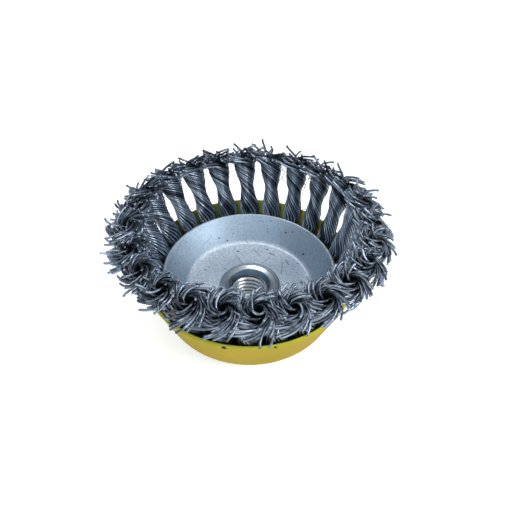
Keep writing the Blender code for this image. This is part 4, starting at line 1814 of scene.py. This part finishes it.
    def build(self, finish: Material) -> bpy.types.Object:
        """Build the knot and link it.

        Args:
            finish: The wire's finish.

        Returns:
            The new piece.
        """
        mesh = self.strands().mesh(f"wire_knot_{self.number:02d}")
        return place_piece(mesh.name, mesh, finish, (f"knot_{self.number:02d}",))


@dataclass
class Strands:
    """Round wires along centre lines.

    Attributes:
        lines: Centre points by wire and row.
        radii: Half thickness by wire and row.
        tones: Tone of each wire.
        tips: Closeness to the tip of each row.
        sides: Points around a wire.
    """

    lines: Array
    radii: Array
    tones: Array
    tips: Array
    sides: int

    def frames(self) -> tuple[Array, Array]:
        """Two directions square to each line, carried along it without turning round it.

        Each row keeps the last row's direction, less its part along the line.

        Returns:
            The two directions by wire and row.
        """
        ahead = unit(np.gradient(self.lines, axis=1))
        first = np.empty_like(ahead)
        carried = np.repeat(np.array([[1.0, 0.0, 0.0]]), len(ahead), axis=0)
        for row in range(ahead.shape[1]):
            along = ahead[:, row]
            carried = unit(carried - (carried * along).sum(axis=1, keepdims=True) * along)
            first[:, row] = carried
        return first, np.cross(ahead, first)

    def caps(self, wires: int, rows: int) -> Array:
        """Triangles that close both ends of every wire round a point in its middle.

        Args:
            wires: Number of wires.
            rows: Rows of points along each.

        Returns:
            An array of three point numbers for each triangle.
        """
        around = np.arange(self.sides)
        following = (around + 1) % self.sides
        per_wire = rows * self.sides
        base = np.arange(wires)[:, None] * per_wire
        middle = wires * per_wire + 2 * np.arange(wires)[:, None] + 0 * around
        low = np.stack([base + following, base + around, middle], axis=-1)
        last = base + per_wire - self.sides
        high = np.stack([last + around, last + following, middle + 1], axis=-1)
        return np.concatenate([low.reshape(-1, 3), high.reshape(-1, 3)])

    def mesh(self, name: str) -> bpy.types.Mesh:
        """Closed tubes: the line plus the radius times cosine and sine along the two directions.

        Args:
            name: Name of the mesh.

        Returns:
            The mesh with its tone and tip attributes.
        """
        wires, rows, _ = self.lines.shape
        first, second = self.frames()
        turn = TAU * np.arange(self.sides) / self.sides
        ring = (np.cos(turn)[:, None] * first[:, :, None, :]
                + np.sin(turn)[:, None] * second[:, :, None, :])
        tubes = self.lines[:, :, None, :] + self.radii[:, :, None, None] * ring
        ends = np.stack([self.lines[:, 0], self.lines[:, -1]], axis=1).reshape(-1, 3)
        points = np.concatenate([tubes.reshape(-1, 3), ends])
        per_wire = rows * self.sides
        offsets = np.arange(wires)[:, None, None] * per_wire
        quads = (grid_quads(rows, self.sides, False)[None] + offsets).reshape(-1, 4)
        mesh = make_mesh(name, points, quads, self.caps(wires, rows))
        tone = np.concatenate([np.repeat(self.tones, per_wire), np.repeat(self.tones, 2)])
        tip = np.concatenate([np.tile(np.repeat(self.tips, self.sides), wires),
                              np.tile([0.0, 1.0], wires)])
        add_attribute(mesh, "tone", tone)
        add_attribute(mesh, "tip", tip)
        return mesh


@dataclass(frozen=True)
class CameraView:
    """Camera of the photograph, from a fit of circles on the dish and the cup.

    Attributes:
        elevation: Angle above the horizon, in degrees.
        distance: Distance to the middle of the dish's rim.
        focal_px: Focal length in pixels of the square frame.
        aim_px: Pixel at which the middle of the dish's rim stands.
        roll: Turn of the frame, in degrees.
        frame_px: Side of the frame in pixels.
        sensor_mm: Width of the sensor.
    """

    elevation: float = 44.26
    distance: float = 197.8 * MM
    focal_px: float = 531.1
    aim_px: tuple[float, float] = (249.4, 266.6)
    roll: float = 0.2
    frame_px: float = 512.0
    sensor_mm: float = 36.0

    def build(self, target_z: float) -> bpy.types.Object:
        """Create the camera and make it the scene's.

        Args:
            target_z: Height of the dish's rim.

        Returns:
            The camera object.
        """
        data = bpy.data.cameras.new("photo_camera")
        data.sensor_width = self.sensor_mm
        data.lens = self.focal_px / self.frame_px * self.sensor_mm
        data.shift_x = (self.frame_px / 2.0 - self.aim_px[0]) / self.frame_px
        data.shift_y = (self.aim_px[1] - self.frame_px / 2.0) / self.frame_px
        data.clip_start = 0.005
        camera = link_object("photo_camera", data)
        rise = math.radians(self.elevation)
        camera.location = (0.0, -self.distance * math.cos(rise), target_z + self.distance * math.sin(rise))
        camera.rotation_euler = (math.pi / 2.0 - rise, 0.0, 0.0)
        camera.rotation_euler.rotate_axis("Z", math.radians(self.roll))
        bpy.context.scene.camera = camera
        return camera


@dataclass(frozen=True)
class StudioLight:
    """One soft lamp.

    Attributes:
        name: Name of the lamp.
        place: Where it stands.
        size: Diameter of its disk.
        power: Power in watts.
        color: Colour of its light.
        target: What it points at.
    """

    name: str
    place: tuple[float, float, float]
    size: float
    power: float
    color: Color = WHITE
    target: tuple[float, float, float] = (0.0, 0.0, 20.0 * MM)

    def build(self) -> bpy.types.Object:
        """Create the lamp, pointed at the brush.

        Returns:
            The lamp.
        """
        data = bpy.data.lights.new(self.name, "AREA")
        data.shape = "DISK"
        data.size = self.size
        data.energy = self.power
        data.color = self.color
        lamp = link_object(self.name, data)
        heading = unit(np.array(self.target) - np.array(self.place))
        pitch = math.acos(float(-heading[2]))
        lamp.location = self.place
        lamp.rotation_euler = (pitch, 0.0, math.atan2(float(heading[1]), float(heading[0])) - math.pi / 2.0)
        return lamp


@dataclass(frozen=True)
class Studio:
    """Plain pale floor, white backdrop seen by the camera and soft lamps.

    Attributes:
        floor_size: Half the floor's side.
        air: Strength of the light from the world.
        sky: Colour of that light.
        floor_color: Colour of the floor in the brush's light.
        floor_glow: What the camera alone sees added to the floor's colour.
    """

    floor_size: float = 3.0
    air: float = 0.45
    sky: Color = (0.80, 0.90, 1.0)
    floor_color: Color = (0.92, 0.92, 0.92)
    floor_glow: float = 0.55

    def build_floor(self) -> None:
        """Make the floor, which is white to the camera and keeps the brush's shadow."""
        half = self.floor_size
        corners = [(-half, -half, 0.0), (half, -half, 0.0), (half, half, 0.0), (-half, half, 0.0)]
        mesh = bpy.data.meshes.new("studio_floor")
        mesh.from_pydata(corners, [], [(0, 1, 2, 3)])
        floor = link_object("studio_floor", mesh)
        material = bpy.data.materials.new("studio_floor")
        material.use_nodes = True
        shader = material.node_tree.nodes["Principled BSDF"]
        shader.inputs["Base Color"].default_value = rgba(self.floor_color)
        shader.inputs["Roughness"].default_value = 0.9
        shader.inputs["Specular IOR Level"].default_value = 0.0
        shader.inputs["Emission Color"].default_value = rgba(WHITE)
        bench = NodeBench(material.node_tree)
        rays = bench.add("ShaderNodeLightPath")
        glow = bench.math("MULTIPLY", rays.outputs["Is Camera Ray"], self.floor_glow)
        bench.feed(shader.inputs["Emission Strength"], glow)
        mesh.materials.append(material)

    def build_world(self) -> None:
        """Light the scene evenly, with white behind the brush for the camera."""
        world = bpy.data.worlds.new("studio_air")
        world.use_nodes = True
        bpy.context.scene.world = world
        bench = NodeBench(world.node_tree)
        rays = bench.add("ShaderNodeLightPath")
        soft = world.node_tree.nodes["Background"]
        soft.inputs["Color"].default_value = rgba(self.sky)
        soft.inputs["Strength"].default_value = self.air
        white = bench.add("ShaderNodeBackground")
        white.inputs["Color"].default_value = rgba(WHITE)
        white.inputs["Strength"].default_value = 1.0
        blend = bench.add("ShaderNodeMixShader")
        bench.feed(blend.inputs[0], rays.outputs["Is Camera Ray"])
        bench.feed(blend.inputs[1], soft.outputs[0])
        bench.feed(blend.inputs[2], white.outputs[0])
        bench.feed(world.node_tree.nodes["World Output"].inputs["Surface"], blend.outputs[0])

    def build(self) -> None:
        """Make the floor, the world and the lamps, and show colours as they are."""
        bpy.context.scene.view_settings.view_transform = "Standard"
        self.build_floor()
        self.build_world()
        lights = (
            StudioLight("top_lamp", (-0.16, 0.06, 0.78), 0.34, 2.1),
            StudioLight("key_lamp", (0.50, -0.25, 0.42), 0.34, 2.7),
            StudioLight("front_lamp", (-0.15, -0.65, 0.30), 0.50, 1.8, (0.90, 0.95, 1.0)),
        )
        for light in lights:
            light.build()


def main() -> None:
    """Dress the brush, piece by piece, and set up the studio around it."""
    logging.basicConfig(level=logging.INFO, format="%(name)s %(message)s")
    effects = SurfaceEffects()
    marks = (
        (13.4, 12.3, 12.4, 5.2, 0.13), (8.3, 15.3, 4.8, 11.1, 0.12), (-5.2, 15.4, -2.9, 11.5, 0.12),
        (8.3, 17.5, 10.1, 16.2, 0.30), (-10.1, 8.9, -9.0, 7.9, 0.20), (-5.2, 18.6, -4.4, 18.4, 0.32),
        (7.0, 19.8, 7.5, 19.6, 0.30), (-17.5, 7.8, -17.4, 7.6, 0.36), (14.5, 13.7, 15.7, 10.7, 0.20),
        (19.2, 11.5, 19.4, 11.3, 0.34), (-13.8, -1.3, -13.4, -1.5, 0.30), (2.6, 18.5, 2.9, 18.4, 0.25),
    )
    zinc = DishFinish("zinc_plating", (0.39, 0.49, 0.59), 0.54, 0.95, pale=(0.46, 0.57, 0.68),
                      speck_share=0.3, strokes=marks).make(effects)
    turned = HubFinish("turned_zinc", (0.56, 0.61, 0.66), 0.30, 1.0, speck_share=0.08,
                       scratch_share=0.3, relief=0.02).make(effects)
    chips = (
        (-101.8, 23.1 * MM, 1.3 * MM), (-77.5, 23.7 * MM, 0.8 * MM), (-95.8, 24.6 * MM, 0.7 * MM),
    )
    paint = PaintFinish("yellow_paint", (0.50, 0.355, 0.008), 0.45, 0.0, chips=chips).make(effects)
    plain = PlainSteelFinish("plain_steel", (0.35, 0.36, 0.38), 0.45, 1.0).make(effects)
    wire = WireFinish("spring_wire", (0.04, 0.049, 0.064), 0.29, 0.93).make(effects)

    OuterCup().build(paint)
    InnerDish().build(zinc)
    ThreadedHub().build(turned)
    layout = KnotLayout()
    habits = {
        4: KnotHabit(hairs=((1.0, 0.35),)),
        5: KnotHabit(hairs=((1.0, 0.55), (-1.0, 0.60), (-1.0, 0.45))),
        6: KnotHabit(hairs=((-1.0, 0.50), (-1.0, 0.25), (1.0, 0.12))),
        8: KnotHabit(hairs=((1.0, 0.15),)),
        10: KnotHabit(hairs=((-1.0, 0.30),)),
        11: KnotHabit(fullness=0.15),
        12: KnotHabit(fullness=0.22, shift=-2.6),
        13: KnotHabit(fullness=0.22, shift=-1.6),
        14: KnotHabit(fullness=0.10, reach=-0.8),
        15: KnotHabit(reach=-1.2),
        16: KnotHabit(reach=-1.2),
        17: KnotHabit(reach=-0.4),
        18: KnotHabit(reach=0.6),
        19: KnotHabit(reach=1.0),
        22: KnotHabit(reach=-0.8),
        23: KnotHabit(reach=-1.0),
    }
    for number in range(1, layout.count + 1):
        habit = habits.get(number, KnotHabit())
        WireKnot(number, layout.spread(number, habit), habit=habit).build(wire)
    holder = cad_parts["knot_holder"]
    holder.data.materials.clear()
    holder.data.materials.append(plain)

    Studio().build()
    CameraView().build(layout.rim_z)


if __name__ == "__main__":
    main()
